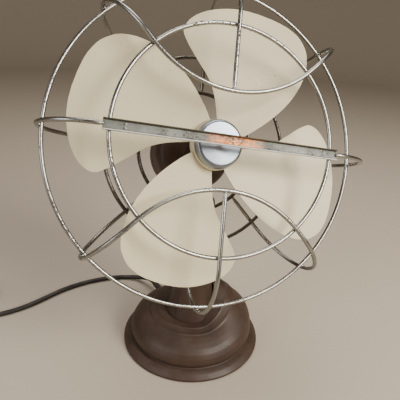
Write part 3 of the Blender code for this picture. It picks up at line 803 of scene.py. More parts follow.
def soften(outline: list[tuple], radius: float, steps: int = 3,
           open_ends: bool = False) -> list[tuple]:
    """Round the corners of an outline.

    Args:
        outline: Points of any dimension.
        radius: How far back from each corner the curve starts.
        steps: Points along each corner.
        open_ends: True to keep the first and last points as they are.

    Returns:
        The rounded outline. Points on the axis are kept.
    """
    most = 0.45
    out: list[tuple] = []
    count = len(outline)
    for i, here in enumerate(outline):
        corner = Vector(here)
        if here[0] == 0.0 or (open_ends and i in (0, count - 1)):
            out.append(tuple(here))
            continue
        before = Vector(outline[i - 1]) - corner
        after = Vector(outline[(i + 1) % count]) - corner
        start = corner + before * min(most, radius / max(before.length, 1e-6))
        end = corner + after * min(most, radius / max(after.length, 1e-6))
        for k in range(steps + 1):
            t = k / steps
            out.append(tuple(start * (1 - t) ** 2 + corner * 2 * t * (1 - t) + end * t * t))
    return out


def lathe(outline: list[tuple], segments: int, reshape: Reshape | None = None) -> bmesh.types.BMesh:
    """Spin a closed outline of (radius, height) or (radius, height, lift) about Z.

    Args:
        outline: The outline; a radius of 0 at both ends makes poles.
        segments: Steps around.
        reshape: Gives a new radius and height from radius, height, lift and angle.

    Returns:
        The shape.
    """
    shape = bmesh.new()
    rows = []
    for radius, height, *rest in outline:
        lift = rest[0] if rest else 0.0
        if radius == 0.0:
            rows.append([shape.verts.new((0.0, 0.0, height))])
            continue
        row = []
        for i in range(segments):
            angle = 2.0 * math.pi * i / segments
            r, z = (radius, height) if reshape is None else reshape(radius, height, lift, angle)
            row.append(shape.verts.new((r * math.cos(angle), r * math.sin(angle), z)))
        rows.append(row)
    closed = len(rows[0]) > 1
    for k in range(len(rows) if closed else len(rows) - 1):
        join_rows(shape, rows[k], rows[(k + 1) % len(rows)])
    return shape


def tube(path: list[Point], radius: float, sides: int, closed: bool = False,
         round_ends: bool = True) -> bmesh.types.BMesh:
    """Make a round wire along a path.

    Args:
        path: Points in millimetres.
        radius: Wire radius.
        sides: Sides of the section.
        closed: True for a ring.
        round_ends: True to narrow the two ends.

    Returns:
        The shape.
    """
    narrowed = 0.72
    shape = bmesh.new()
    points = [Vector(p) for p in path]
    count = len(points)
    normal = None
    loops = []
    for i, point in enumerate(points):
        ahead = points[(i + 1) % count] if closed or i < count - 1 else point
        behind = points[i - 1] if closed or i > 0 else point
        along = (ahead - behind).normalized()
        normal = along.orthogonal() if normal is None else normal
        normal = (normal - along * normal.dot(along)).normalized()
        side = along.cross(normal)
        thick = radius * (narrowed if round_ends and not closed and i in (0, count - 1) else 1.0)
        loop = []
        for k in range(sides):
            angle = 2.0 * math.pi * k / sides
            spoke = normal * math.cos(angle) + side * math.sin(angle)
            loop.append(shape.verts.new(point + spoke * thick))
        loops.append(loop)
    join_loops(shape, loops, closed)
    return shape


def smooth_table(table: tuple[Pair, ...], value: float) -> float:
    """Read a sorted outline at a value with a smooth cubic through its points.

    Args:
        table: Points (value, result).
        value: Where to read.

    Returns:
        The result there.
    """
    last = len(table) - 1
    i = next((k for k in range(last) if value <= table[k + 1][0]), last - 1)
    (x0, y0), (x1, y1) = table[i], table[i + 1]
    before, after = table[max(0, i - 1)], table[min(last, i + 2)]
    t = clamp((value - x0) / (x1 - x0))
    m0 = (y1 - before[1]) / (x1 - before[0]) * (x1 - x0)
    m1 = (after[1] - y0) / (after[0] - x0) * (x1 - x0)
    return ((2 * t ** 3 - 3 * t ** 2 + 1) * y0 + (t ** 3 - 2 * t ** 2 + t) * m0
            + (-2 * t ** 3 + 3 * t ** 2) * y1 + (t ** 3 - t ** 2) * m1)


def ride(piece: bpy.types.Object, body: Body, *nodes: str, slot: Slot) -> None:
    """Attach a finished piece to its body and hide what it stands for.

    Args:
        piece: The piece.
        body: The body it moves with.
        *nodes: Frame nodes that it replaces.
        slot: The record's material slot; not used.
    """
    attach(piece, body.value)
    if nodes:
        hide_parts(*nodes)
    LOG.info("%s on %s, for %s", piece.name, body.value, ", ".join(nodes) or "nothing")


# ------------------------------------------------------------------ sub-assemblies


@dataclass(frozen=True)
class SoftPanel:
    """A square soft light that faces the fan."""

    name: str
    place: Point
    size: float
    power: float
    tone: Colour
    aim: Point = (0.0, 0.0, 200.0)

    def build(self) -> None:
        """Hang the panel."""
        data = bpy.data.lights.new(self.name, "AREA")
        data.shape = "SQUARE"
        data.size = self.size * MM
        data.energy = self.power
        data.color = self.tone
        lamp = bpy.data.objects.new(self.name, data)
        bpy.context.scene.collection.objects.link(lamp)
        lamp.location = Vector(self.place) * MM
        toward = Vector(self.aim) * MM - lamp.location
        lamp.rotation_euler = toward.to_track_quat("-Z", "Y").to_euler()


@dataclass
class CameraAndStage:
    """Camera, round floor with a low wall, and soft lights."""

    place: Point = (-145.8, -422.4, 382.2)
    yaw: float = 0.341
    pitch: float = 0.415
    roll: float = 0.050
    lens: float = 39.6
    sensor: float = 36.0
    nearest: float = 10.0
    floor_tone: Colour = (0.50, 0.43, 0.34)
    floor_rough: float = 0.7
    floor_middle: float = 600.0
    floor_radius: float = 2400.0
    sweep: float = 900.0
    sweep_steps: int = 12
    wall_top: float = 3000.0
    segments: int = 96
    surround_tone: Colour = (0.86, 0.83, 0.79)
    surround_strength: float = 0.16
    panels: tuple[SoftPanel, ...] = (
        SoftPanel("key_panel", (700.0, -1150.0, 1000.0), 700.0, 34.0, (1.0, 0.95, 0.87)),
        SoftPanel("side_panel", (-1300.0, -500.0, 700.0), 700.0, 8.0, (0.97, 0.97, 1.0)),
        SoftPanel("top_panel", (100.0, 300.0, 1500.0), 900.0, 12.0, (1.0, 0.96, 0.90)))

    def build(self) -> None:
        """Make the camera, the stage and the lights."""
        self.make_camera()
        self.make_floor()
        for panel in self.panels:
            panel.build()
        self.make_surround()

    def make_camera(self) -> None:
        """Place the camera at the reference view."""
        look = Vector((math.sin(self.yaw) * math.cos(self.pitch),
                       math.cos(self.yaw) * math.cos(self.pitch), -math.sin(self.pitch)))
        right = Vector((math.cos(self.yaw), -math.sin(self.yaw), 0.0))
        up = right.cross(look)
        turned_right = right * math.cos(self.roll) + up * math.sin(self.roll)
        turned_up = up * math.cos(self.roll) - right * math.sin(self.roll)
        data = bpy.data.cameras.new("camera")
        data.lens = self.lens
        data.sensor_width = self.sensor
        data.clip_start = self.nearest * MM
        camera = bpy.data.objects.new("camera", data)
        bpy.context.scene.collection.objects.link(camera)
        turn = Matrix((turned_right, turned_up, -look)).transposed()
        camera.matrix_world = Matrix.Translation(Vector(self.place) * MM) @ turn.to_4x4()
        bpy.context.scene.camera = camera

    def make_floor(self) -> None:
        """Lay a round pale floor whose rim sweeps up into a low wall."""
        outline = [(0.0, 0.0), (self.floor_middle, 0.0), (self.floor_radius, 0.0)]
        for i in range(1, self.sweep_steps + 1):
            angle = math.radians(90.0 * i / self.sweep_steps)
            outline.append((self.floor_radius + self.sweep * math.sin(angle),
                            self.sweep - self.sweep * math.cos(angle)))
        outline.append((self.floor_radius + self.sweep, self.wall_top))
        bench = MaterialBench("pale_floor")
        bench.set(Base_Color=self.floor_tone, Roughness=self.floor_rough)
        floor = finish_mesh("studio_floor", lathe(outline, self.segments), Matrix.Identity(4),
                            bench.material, WIRE_EDGE)

    def make_surround(self) -> None:
        """Set a dim even surround."""
        world = bpy.data.worlds.new("surround")
        world.use_nodes = True
        backdrop = world.node_tree.nodes["Background"]
        backdrop.inputs["Color"].default_value = (*self.surround_tone, 1.0)
        backdrop.inputs["Strength"].default_value = self.surround_strength
        bpy.context.scene.world = world


@dataclass
class MainsCord:
    """The cord from the strain relief, its neat coil, and the lead to the plug."""

    radius: float = 3.1
    sides: int = 14
    coil_centre: Pair = (-292.0, 137.0)
    coil_mid: float = 37.0
    turns: float = 6.25
    turn_steps: int = 28
    lane_change_from: float = 0.78
    rise_from: float = 6.0555
    end_lift: float = 3.9
    gap: float = 0.3
    join_reach: float = 12.0
    route_steps: int = 4
    route: tuple[Point, ...] = (
        (-24.3, 97.5, 14.5), (-26.0, 104.6, 14.4), (-29.6, 115.0, 11.9), (-36.6, 125.6, 7.6),
        (-48.0, 134.6, 4.3), (-63.0, 140.2, 3.2), (-80.0, 142.8, 3.1), (-97.0, 142.8, 3.1),
        (-115.0, 140.4, 3.1), (-134.0, 135.6, 3.1), (-154.0, 127.6, 3.1), (-172.0, 117.6, 3.1),
        (-190.0, 107.6, 3.1), (-209.0, 99.8, 3.1), (-229.0, 95.4, 3.1), (-249.0, 94.0, 3.1),
        (-268.2, 93.8, 3.1))

    def coil(self) -> list[Point]:
        """Lay three turns inward, three outward on top, and the last rise.

        Returns:
            The middle line's points.
        """
        pitch = 2.0 * self.radius
        inner, middle, outer = self.coil_mid - pitch, self.coil_mid, self.coil_mid + pitch
        lanes = [(outer, 0.0), (middle, 0.0), (inner, 0.0), (inner, pitch), (middle, pitch),
                 (outer, pitch), (middle, 2.0 * pitch + self.gap)]
        last_lane = len(lanes) - 2
        out = []
        steps = int(self.turns * self.turn_steps)
        for i in range(1, steps + 1):
            turn = self.turns * i / steps
            lane = min(int(turn), last_lane)
            (r0, z0), (r1, z1) = lanes[lane], lanes[lane + 1]
            change = ease((turn - lane - self.lane_change_from) / (1.0 - self.lane_change_from))
            rise = ease((turn - self.rise_from) / (self.turns - self.rise_from))
            x, y, _ = polar(r0 + (r1 - r0) * change, 270.0 - 360.0 * turn)
            out.append((self.coil_centre[0] + x, self.coil_centre[1] + y,
                        self.radius + z0 + (z1 - z0) * change + self.end_lift * rise))
        return out

    def path(self) -> list[Point]:
        """Run a smooth dense line through the route and the coil.

        Returns:
            The middle line's points.
        """
        joint = (self.coil_centre[0] + self.join_reach, self.route[-1][1], self.radius)
        south = (self.coil_centre[0], self.coil_centre[1] - self.coil_mid - 2.0 * self.radius,
                 self.radius)
        points = [Vector(p) for p in (*self.route, joint, south)]
        ends = [2 * points[0] - points[1]] + points + [2 * points[-1] - points[-2]]
        out = []
        for i in range(1, len(ends) - 2):
            a, b, c, d = ends[i - 1:i + 3]
            for k in range(self.route_steps):
                t = k / self.route_steps
                out.append(tuple(0.5 * (2 * b + (c - a) * t + (2 * a - 5 * b + 4 * c - d) * t * t
                                        + (3 * b - a - 3 * c + d) * t ** 3)))
        out.append(tuple(points[-1]))
        return out + self.coil()

    def build(self, finishes: Finishes) -> None:
        """Args:
            finishes: The fan's finishes.
        """
        path = self.path()
        cord = finish_mesh("mains_cord", tube(path, self.radius, self.sides, round_ends=False),
                           Matrix.Identity(4), finishes.rubber, CORD_EDGE)
        ride(cord, Body.BASE, "power_cord", "cord_coil", "cord_tail", slot=Slot.CORD)


@dataclass
class BaseShell:
    """The cast base with its raised tail, and the neck with a front panel."""

    segments: int = 144
    softness: float = 1.1
    hump_azimuth: float = 0.0
    hump_power: float = 1.5
    collar_radius: float = 34.0
    collar_gap: float = 0.4
    neck_top: float = 142.0
    neck_rows: int = 44
    panel_azimuth: float = -108.0
    panel_half: float = 42.0
    panel_edge: float = 6.0
    panel_rise: float = 1.4
    panel_foot: float = 42.0
    panel_fade: float = 8.0
    outside: tuple[Point, ...] = (
        (79.9, 1.0, 0.0), (83.0, 1.0, 0.0), (83.4, 1.6, 0.0), (83.4, 3.6, 0.0), (82.2, 4.6, 0.0),
        (81.4, 5.4, 0.0), (78.6, 8.0, 0.0), (75.0, 9.5, 0.0), (72.6, 10.2, 0.0),
        (71.8, 11.0, 0.0), (72.6, 12.0, 0.2), (73.8, 14.0, 0.8), (74.2, 17.5, 3.0),
        (73.2, 22.5, 8.0), (70.6, 27.6, 11.0), (66.4, 32.0, 12.0), (60.6, 35.6, 14.0),
        (55.0, 37.8, 18.0), (51.6, 38.6, 21.0), (50.2, 39.8, 22.0), (48.4, 39.6, 23.0),
        (42.4, 40.6, 27.5), (41.0, 41.8, 28.5), (39.4, 41.2, 29.0), (33.8, 41.2, 33.0))
    inside: tuple[Point, ...] = (
        (32.4, 40.6, 0.0), (32.4, 38.0, 0.0), (12.4, 38.0, 0.0), (12.4, 33.8, 0.0),
        (36.0, 33.8, 0.0), (50.0, 34.4, 14.0), (60.0, 31.0, 11.0), (67.0, 26.0, 8.0),
        (70.2, 20.0, 4.0), (70.6, 15.0, 1.0), (68.6, 11.5, 0.0), (68.6, 5.8, 0.0),
        (79.9, 5.8, 0.0))
    side: tuple[Pair, ...] = (
        (38.3, 32.0), (40.4, 32.0), (45.0, 30.6), (52.0, 28.6), (60.0, 26.8), (70.0, 25.3),
        (82.0, 24.0), (100.0, 21.5), (118.0, 18.0), (132.0, 15.2), (142.0, 14.2))
    neck_foot: tuple[Pair, ...] = ((12.0, 27.0), (12.0, 38.3), (31.6, 38.3), (32.0, 38.8))
    neck_bore: tuple[Pair, ...] = ((8.4, 142.0), (8.4, 106.0), (5.0, 106.0), (5.0, 27.0))

    def hump(self, radius: float, height: float, lift: float, angle: float) -> Pair:
        """Raise the dome toward the tail, as the frame does.

        Args:
            radius: Radius of the outline.
            height: Its height.
            lift: How far it rises at the tail.
            angle: Angle around the base, in radians.

        Returns:
            The radius and height to use.
        """
        toward = max(0.0, math.cos(angle - math.radians(self.hump_azimuth)))
        z = height + lift * toward ** self.hump_power
        if radius < self.collar_radius and lift > 0.0:
            return smooth_table(self.side, z) + self.collar_gap, z
        return radius, z

    def panel(self, radius: float, height: float, lift: float, angle: float) -> Pair:
        """Raise a shallow panel down the front of the neck.

        Args:
            radius: Radius of the outline.
            height: Its height.
            lift: 1 on the outside of the neck.
            angle: Angle around the neck, in radians.

        Returns:
            The radius and height to use.
        """
        if lift == 0.0:
            return radius, height
        away = (math.degrees(angle) - self.panel_azimuth + 180.0) % 360.0 - 180.0
        inside = ease((self.panel_half + self.panel_edge / 2.0 - abs(away)) / self.panel_edge)
        fade = clamp((height - self.panel_foot) / self.panel_fade)
        return radius - self.panel_rise * (1.0 - inside) * fade, height

    def build(self, finishes: Finishes) -> None:
        """Make the base casting and the neck.

        Args:
            finishes: The fan's finishes.
        """
        outline = soften(list(self.outside), self.softness, open_ends=True) + list(self.inside)
        shell = finish_mesh("base_shell", lathe(outline, self.segments, self.hump),
                            Matrix.Identity(4), finishes.brown)
        ride(shell, Body.BASE, "base_casting", slot=Slot.BROWN)
        profile = self.side[1:]
        foot = profile[0][0]
        outer = []
        for i in range(self.neck_rows + 1):
            z = foot + (self.neck_top - foot) * i / self.neck_rows
            outer.append((smooth_table(profile, z), z, 1.0))
        outline = [*self.neck_foot, *outer, *self.neck_bore]
        neck = finish_mesh("neck_column", lathe(outline, self.segments, self.panel),
                           Matrix.Identity(4), finishes.brown)
        ride(neck, Body.BASE, "neck", slot=Slot.BROWN)


@dataclass
class SpeedKnob:
    """The fluted speed knob at the back of the base."""

    height: float = 20.0
    segments: int = 96
    flutes: int = 12
    flute_depth: float = 0.7
    outline: tuple[tuple, ...] = (
        (0.0, 58.0), (2.1, 58.0), (2.1, 77.4), (9.0, 77.4, 1.0), (9.6, 78.4, 1.0),
        (9.2, 82.0, 1.0), (8.8, 86.0, 1.0), (8.2, 87.2, 1.0), (7.0, 87.9), (0.0, 88.2))

    def flute(self, radius: float, height: float, lift: float, angle: float) -> Pair:
        """Cut the grip's flutes, where lift is 1 on the grip."""
        dip = max(0.0, math.cos(self.flutes * angle)) ** 2
        return radius - self.flute_depth * lift * dip, height

    def build(self, finishes: Finishes) -> None:
        """Make the knob.

        Args:
            finishes: The fan's finishes.
        """
        place = (Matrix.Translation((0.0, 0.0, self.height * MM))
                 @ Matrix.Rotation(math.radians(-90.0), 4, "X"))
        knob = finish_mesh("speed_knob_cap", lathe(list(self.outline), self.segments, self.flute),
                           place, finishes.black)
        ride(knob, Body.KNOB, "switch_knob", slot=Slot.BLACK)


@dataclass
class Motor:
    """The two motor shells and the tongue on the tilt bolt."""

    radius: float = 42.0
    segments: int = 112
    corner_steps: int = 4
    front_softness: float = 2.2
    rear_softness: float = 2.6
    axis_rise: float = 56.43
    tongue_radius: float = 9.0
    tongue_half: float = 11.2
    tongue_overlap: float = 2.2
    tongue_steps: int = 24
    front: tuple[Pair, ...] = (
        (42.0, -16.0), (42.0, 3.0), (41.0, 9.0), (38.0, 14.0), (32.0, 17.4), (22.0, 19.4),
        (15.0, 22.0), (13.2, 28.0), (12.6, 40.0), (10.4, 40.0), (10.4, 13.0), (18.0, 14.2),
        (30.0, 14.6), (36.4, 11.8), (39.2, 7.0), (39.8, 1.0), (39.8, -16.0))
    rear: tuple[Pair, ...] = (
        (42.0, -16.3), (42.0, -26.0), (40.5, -36.0), (36.0, -44.0), (28.0, -49.6),
        (22.0, -51.0), (10.4, -51.0), (10.4, -37.0), (14.0, -37.0), (15.0, -45.6),
        (26.0, -46.6), (33.8, -41.6), (38.2, -34.6), (39.8, -26.0), (39.8, -16.3))

    def build(self, head: Matrix, tilt: Matrix, finishes: Finishes) -> None:
        """Make the motor's outside.

        Args:
            head: Frame of the blade axis.
            tilt: Frame of the tilt bolt, parallel to the head.
            finishes: The fan's finishes.
        """
        for name, node, outline, softness in (
                ("motor_nose", "motor_front_shell", self.front, self.front_softness),
                ("motor_back", "motor_rear_shell", self.rear, self.rear_softness)):
            rounded = soften(list(outline), softness, self.corner_steps)
            shell = finish_mesh(name, lathe(rounded, self.segments), head, finishes.brown)
            ride(shell, Body.HEAD, node, slot=Slot.BROWN)
        self.make_tongue(tilt, finishes)

    def make_tongue(self, tilt: Matrix, finishes: Finishes) -> None:
        """Make the lug between the yoke's ears.

        Args:
            tilt: Frame of the tilt bolt.
            finishes: The fan's finishes.
        """
        r, top = self.tongue_radius, self.axis_rise - self.radius + self.tongue_overlap
        outline = [polar(r, 180.0 + 180.0 * i / self.tongue_steps)[:2]
                   for i in range(self.tongue_steps + 1)]
        outline += [(r, top), (-r, top)]
        shape = bmesh.new()
        loops = [[shape.verts.new((across, y, x)) for x, y in outline]
                 for across in (-self.tongue_half, self.tongue_half)]
        join_loops(shape, loops)
        tongue = finish_mesh("tilt_tongue", shape, tilt, finishes.brown)
        ride(tongue, Body.HEAD, slot=Slot.BROWN)


@dataclass
class Rotor:
    """Hub, spun cap and the four pressed blades."""

    count: int = 4
    root: float = 24.4
    tip: float = 139.5
    mid_s: float = 74.0
    pitch: float = 0.25
    camber: float = 0.0008
    mid_degrees: float = -30.0
    thick: float = 1.1
    edge_share: float = 0.55
    rows: int = 54
    crowding: float = 1.7
    columns: int = 26
    high: tuple[Pair, ...] = (
        (24.4, -11.0), (32.0, -9.0), (46.0, -6.5), (62.0, -2.5), (80.0, 3.5), (95.0, 7.0),
        (105.0, 8.4), (114.0, 8.6), (122.0, 5.8), (128.0, 1.2), (132.0, -4.0), (135.5, -11.0),
        (138.2, -20.0), (139.5, -35.0))
    low: tuple[Pair, ...] = (
        (24.4, -78.0), (32.0, -76.0), (46.0, -72.2), (65.0, -68.0), (85.0, -63.6),
        (105.0, -58.4), (118.0, -54.2), (126.0, -51.0), (131.0, -48.4), (135.5, -44.8),
        (138.2, -41.4), (139.5, -37.0))
    hub_segments: int = 112
    hub_softness: float = 0.7
    hub: tuple[Pair, ...] = (
        (4.3, 44.0), (9.0, 44.0), (9.6, 64.0), (14.0, 67.0), (22.5, 68.4), (24.0, 70.0),
        (24.0, 81.0), (23.4, 81.7), (4.3, 81.7))
    cap_segments: int = 128
    cap_softness: float = 0.8
    cap: tuple[Pair, ...] = (
        (0.0, 90.2), (10.0, 90.15), (19.2, 89.9), (20.2, 89.8), (21.6, 88.9), (22.8, 87.0),
        (23.3, 84.4), (23.4, 82.0), (21.8, 82.0), (21.8, 84.0), (21.0, 86.0), (18.8, 87.4),
        (10.0, 88.3), (0.0, 88.6))

    def surface(self, radius: float, degrees: float) -> float:
        """Return how far forward the sheet lies."""
        q = radius * math.radians(degrees - self.mid_degrees)
        return self.mid_s - self.pitch * q + self.camber * q * q

    def skin(self, shape: bmesh.types.BMesh, side: float) -> list[list]:
        """Lay one face of a blade, thinner at its rim.

        Args:
            shape: The shape that takes it.
            side: -0.5 for the back face, 0.5 for the front.

        Returns:
            Rows of vertices from the root to the tip.
        """
        rows = []
        for i in range(self.rows + 1):
            t = i / self.rows
            radius = self.root + (self.tip - self.root) * (1.0 - (1.0 - t) ** self.crowding)
            first = smooth_table(self.low, radius)
            last = smooth_table(self.high, radius)
            row = []
            for k in range(self.columns + 1):
                share = k / self.columns
                degrees = first + (last - first) * share
                from_rim = min(share, 1.0 - share, (1.0 - t) * 2.0) * self.columns
                thin = self.edge_share if from_rim < 0.5 else 1.0
                s = self.surface(radius, degrees) + side * self.thick * thin
                row.append(shape.verts.new(polar(radius, degrees, s)))
            rows.append(row)
        for below, above in zip(rows, rows[1:]):
            for k in range(self.columns):
                shape.faces.new((below[k], below[k + 1], above[k + 1], above[k]))
        return rows

    def rim(self, rows: list[list]) -> list:
        """Return the outline vertices of a grid, once around."""
        left, right = [row[0] for row in rows], [row[-1] for row in rows]
        return left + rows[-1][1:-1] + right[::-1] + rows[0][-2:0:-1]

    def blade(self) -> bmesh.types.BMesh:
        """Make one blade with a thin edge.

        Returns:
            The shape.
        """
        shape = bmesh.new()
        back, front = (self.rim(self.skin(shape, side)) for side in (-0.5, 0.5))
        join_rows(shape, back, front)
        return shape

    def build(self, head: Matrix, finishes: Finishes) -> None:
        """Make hub, cap and blades.

        Args:
            head: Frame of the blade axis.
            finishes: The fan's finishes.
        """
        hub = soften(list(self.hub), self.hub_softness)
        centre = finish_mesh("blade_hub", lathe(hub, self.hub_segments), head, finishes.cream)
        ride(centre, Body.ROTOR, "hub", slot=Slot.CREAM)
        cap = soften(list(self.cap), self.cap_softness, 4)
        cover = finish_mesh("hub_cover", lathe(cap, self.cap_segments), head, finishes.spun,
                            own_frame=True)
        ride(cover, Body.ROTOR, "hub_cap", slot=Slot.SPUN)
        for i in range(self.count):
            turn = Matrix.Rotation(math.radians(360.0 * i / self.count), 4, "Z")
            sheet = finish_mesh(f"fan_blade_{i + 1}", self.blade(), head @ turn, finishes.cream,
                                SHEET_EDGE)
            ride(sheet, Body.ROTOR, f"blade_{i + 1}", slot=Slot.CREAM)


@dataclass
class Guard:
    """The wire guard: rings, round-sided spokes, two waves, the front bar and its welds."""

    wire: float = 2.0
    ring_wire: float = 1.9
    sides: int = 14
    ring_steps: int = 160
    roll: float = -10.0
    outermost: float = 160.4
    turn: float = 112.0
    turn_steps: int = 48
    root_steps: int = 8
    straight_step: float = 6.0
    mid_s: float = 64.0
    half_s: float = 48.1
    gap: float = 0.3
    outer_slack: float = 0.2
    outer_back: float = 2.0
    front_ring: float = 103.0
    rear_ring: float = 99.0
    mount_radius: float = 63.0
    mount_s: float = 16.0
    wave_degrees: float = 45.0
    wave_radius: float = 105.0
    wave_reach: float = 106.0
    wave_steps: int = 56
    wave_apex: float = 43.5
    bar_half: float = 108.5
    bar_height: float = 10.0
    bar_thick: float = 1.2
    bar_lip: float = 3.6
    bar_softness: float = 0.9
    bar_steps: int = 72
    eyelets_x: Point = (-91.0, 3.5, 93.0)
    eyelet_y: float = 1.7
    eyelet: tuple[Pair, ...] = ((0.55, -0.2), (1.15, -0.2), (1.15, 0.25), (0.85, 0.35),
                                (0.55, 0.2))
    eyelet_segments: int = 20
    weld: float = 1.7
    bar_weld_reach: float = 0.2

    @property
    def front_s(self) -> float:
        """Where the front wires lie."""
        return self.mid_s + self.half_s

    @property
    def rear_s(self) -> float:
        """Where the rear wires lie."""
        return self.mid_s - self.half_s

    @property
    def stack(self) -> float:
        """Distance between the middles of a wire and the ring it lies on."""
        return self.wire + self.ring_wire + self.gap

    @property
    def outer_ring(self) -> Pair:
        """Radius and place of the outer ring."""
        return self.outermost - self.stack - self.outer_slack, self.mid_s - self.outer_back

    def profile(self, front_radius: float) -> list[Pair]:
        """Bend one wire from the mount ring, out and round, to the front.

        Args:
            front_radius: Radius at which its front end lies.

        Returns:
            Points (radius, s).
        """
        root = self.mount_radius + self.ring_wire + self.gap
        out = [(root + (self.turn - root) * i / self.root_steps, self.rear_s)
               for i in range(self.root_steps)]
        for i in range(self.turn_steps + 1):
            angle = math.radians(-90.0 + 180.0 * i / self.turn_steps)
            out.append((self.turn + (self.outermost - self.turn) * math.cos(angle),
                        self.mid_s + self.half_s * math.sin(angle)))
        steps = max(1, round((self.turn - front_radius) / self.straight_step))
        for i in range(1, steps + 1):
            out.append((self.turn + (front_radius - self.turn) * i / steps, self.front_s))
        return out

    def wave(self, mirror: float) -> list[Point]:
        """Bend the long wire that dips toward the hub across the front.

        Args:
            mirror: 1 for the upper wire, -1 for the lower.

        Returns:
            The middle line's points.
        """
        degrees = self.wave_degrees
        out = [polar(r, degrees, s) for r, s in self.profile(self.wave_reach)]
        centre = self.wave_radius * math.sqrt(2.0)
        dip = []
        for i in range(self.wave_steps + 1):
            x, y, _ = polar(self.wave_radius, -degrees - 2.0 * degrees * i / self.wave_steps)
            dip.append((x, centre + y, self.front_s))
        back = [(-x, y, s) for x, y, s in reversed(out)]
        return [(x, y * mirror, s) for x, y, s in out + dip + back]

    def make_wire(self, node: str, path: list[Point], radius: float, place: Matrix,
                  finish: bpy.types.Material, closed: bool = False) -> None:
        """Make one wire in place of its frame node.

        Args:
            node: The frame node.
            path: The wire's middle line.
            radius: Its radius.
            place: Frame of the guard.
            finish: Its finish.
            closed: True for a ring.
        """
        wire = finish_mesh(f"{node}_wire", tube(path, radius, self.sides, closed), place, finish,
                           WIRE_EDGE)
        ride(wire, Body.HEAD, node, slot=Slot.NICKEL)

    def build(self, head: Matrix, finishes: Finishes) -> None:
        """Make the guard.

        Args:
            head: Frame of the blade axis.
            finishes: The fan's finishes.
        """
        place = head @ Matrix.Rotation(math.radians(self.roll), 4, "Z")
        for node, (radius, s), finish in (
                ("guard_outer_ring", self.outer_ring, finishes.nickel),
                ("guard_front_ring", (self.front_ring, self.front_s - self.stack),
                 finishes.nickel),
                # the rear ring and the mount ring take the darker plating: painted shade behind the
                # blades, with heavier rust
                ("guard_rear_ring", (self.rear_ring, self.rear_s + self.stack), finishes.shaded_rusty),
                ("guard_mount_ring", (self.mount_radius, self.mount_s), finishes.shaded_rusty)):
            path = [polar(radius, 360.0 * i / self.ring_steps, s) for i in range(self.ring_steps)]
            self.make_wire(node, path, self.ring_wire, place, finish, closed=True)
        for node, mirror in (("guard_top_wave", 1.0), ("guard_bottom_wave", -1.0)):
            self.make_wire(node, self.wave(mirror), self.wire, place, finishes.nickel)
        tip = self.wave_apex + self.wire + self.gap
        end = self.bar_half + self.gap
        for node, degrees, front_radius in (
                ("guard_right_spoke", 0.0, end), ("guard_top_spoke", 90.0, tip),
                ("guard_left_spoke", 180.0, end), ("guard_bottom_spoke", 270.0, tip)):
            path = [polar(r, degrees, s) for r, s in self.profile(front_radius)]
            self.make_wire(node, path, self.wire, place, finishes.nickel)
        self.make_bar(place, finishes)
        self.make_welds(place, finishes)

    def make_bar(self, place: Matrix, finishes: Finishes) -> None:
        """Make the pressed channel bar with its small pressed marks.

        Args:
            place: Frame of the guard.
            finishes: The fan's finishes.
        """
        half, thick = self.bar_height / 2.0, self.bar_thick
        back = self.front_s - self.stack + self.ring_wire + self.gap
        lip, face = back + self.bar_lip, back + thick
        outline = soften([(-half, lip), (-half, back), (half, back), (half, lip),
                          (half - thick, lip), (half - thick, face), (-half + thick, face),
                          (-half + thick, lip)], self.bar_softness)
        shape = bmesh.new()
        loops = []
        for i in range(self.bar_steps + 1):
            x = -self.bar_half + 2.0 * self.bar_half * i / self.bar_steps
            loops.append([shape.verts.new((x, y, s)) for y, s in outline])
        join_loops(shape, loops)
        bar = finish_mesh("front_bar", shape, place, finishes.bar, SHEET_EDGE, own_frame=True)
        ride(bar, Body.HEAD, "guard_bar", slot=Slot.NICKEL)
        self.make_eyelets(place, face, finishes)

    def make_eyelets(self, place: Matrix, face: float, finishes: Finishes) -> None:
        """Make the three pairs of small pressed marks in the bar.

        Args:
            place: Frame of the guard.
            face: How far forward the bar's face lies.
            finishes: The fan's finishes.
        """
        shape = bmesh.new()
        outline = [(radius, face + rise) for radius, rise in self.eyelet]
        for x in self.eyelets_x:
            for y in (-self.eyelet_y, self.eyelet_y):
                ring = lathe(outline, self.eyelet_segments)
                bmesh.ops.translate(ring, vec=(x, y, 0.0), verts=ring.verts)
                spare = bpy.data.meshes.new("spare")
                ring.to_mesh(spare)
                ring.free()
                shape.from_mesh(spare)
                bpy.data.meshes.remove(spare)
        marks = finish_mesh("bar_eyelets", shape, place, finishes.nickel)
        ride(marks, Body.HEAD, slot=Slot.NICKEL)

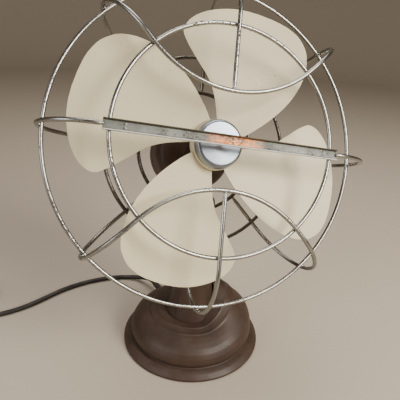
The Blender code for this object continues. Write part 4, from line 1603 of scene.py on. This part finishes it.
    def make_welds(self, place: Matrix, finishes: Finishes) -> None:
        """Make the small weld beads where wires lie on rings and on each other.

        Args:
            place: Frame of the guard.
            finishes: The fan's finishes.
        """
        middle = self.ring_wire + self.gap / 2.0
        outer, outer_s = self.outer_ring
        spots = []
        for degrees in range(0, 360, 45):
            spots.append(polar(outer + middle, degrees, outer_s))
            spots.append(polar(self.rear_ring, degrees, self.rear_s + self.stack - middle))
            spots.append(polar(self.mount_radius + middle, degrees, self.rear_s))
            if degrees % 180:
                spots.append(polar(self.front_ring, degrees, self.front_s - self.stack + middle))
        for degrees in (90.0, 270.0):
            spots.append(polar(self.wave_apex + self.wire, degrees, self.front_s))
        for degrees in (0.0, 180.0):
            spots.append(polar(self.bar_half + self.bar_weld_reach, degrees, self.front_s))
        shape = bmesh.new()
        for spot in spots:
            bmesh.ops.create_icosphere(shape, subdivisions=2, radius=self.weld,
                                       matrix=Matrix.Translation(spot))
        beads = finish_mesh("guard_welds", shape, place, finishes.nickel, WIRE_EDGE)
        ride(beads, Body.HEAD, slot=Slot.NICKEL)


# ------------------------------------------------------------------ whole fan


@dataclass
class HeadFrames:
    """The head's frames at rest, read from the frame's own joints."""

    joints: dict[str, dict]

    def axis(self, name: str) -> Matrix:
        """Find the frame at a joint, with Z along the blade axis and X to the viewer's right.

        Args:
            name: Joint whose point is the origin.

        Returns:
            The frame.
        """
        forward = Vector(self.joints["blade_spin"]["axis"]).normalized()
        right = Vector((1.0, 0.0, 0.0))
        up = forward.cross(right)
        turn = Matrix((right, up, forward)).transposed().to_4x4()
        return Matrix.Translation(Vector(self.joints[name]["pos_m"])) @ turn


def dress_frame_nodes(nodes: dict[str, bpy.types.Object], finishes: Finishes) -> None:
    """Give each frame node that stays visible its finish.

    Args:
        nodes: The frame's nodes by name.
        finishes: The fan's finishes.
    """
    for name, material in finishes.cad().items():
        node = nodes[name]
        if not node.material_slots:
            node.data.materials.append(material)
        for slot in node.material_slots:
            slot.material = material
        LOG.info("%s keeps its frame shape, in %s", name, material.name)


def main() -> None:
    """Load the frame, dress it, and report each piece."""
    logging.basicConfig(level=logging.INFO, format="%(message)s")
    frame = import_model()
    CameraAndStage().build()
    make_groups()
    finishes = Finishes()
    MainsCord().build(finishes)
    joints = {j["name"]: j for j in frame["record"]["behaviour"]["joints"]}
    frames = HeadFrames(joints)
    head = frames.axis("blade_spin")
    tilt = frames.axis("head_tilt")
    dress_frame_nodes(frame["nodes"], finishes)
    BaseShell().build(finishes)
    SpeedKnob().build(finishes)
    Motor().build(head, tilt, finishes)
    Rotor().build(head, finishes)
    Guard().build(head, finishes)
    bpy.context.view_layer.update()


if __name__ == "__main__":
    main()
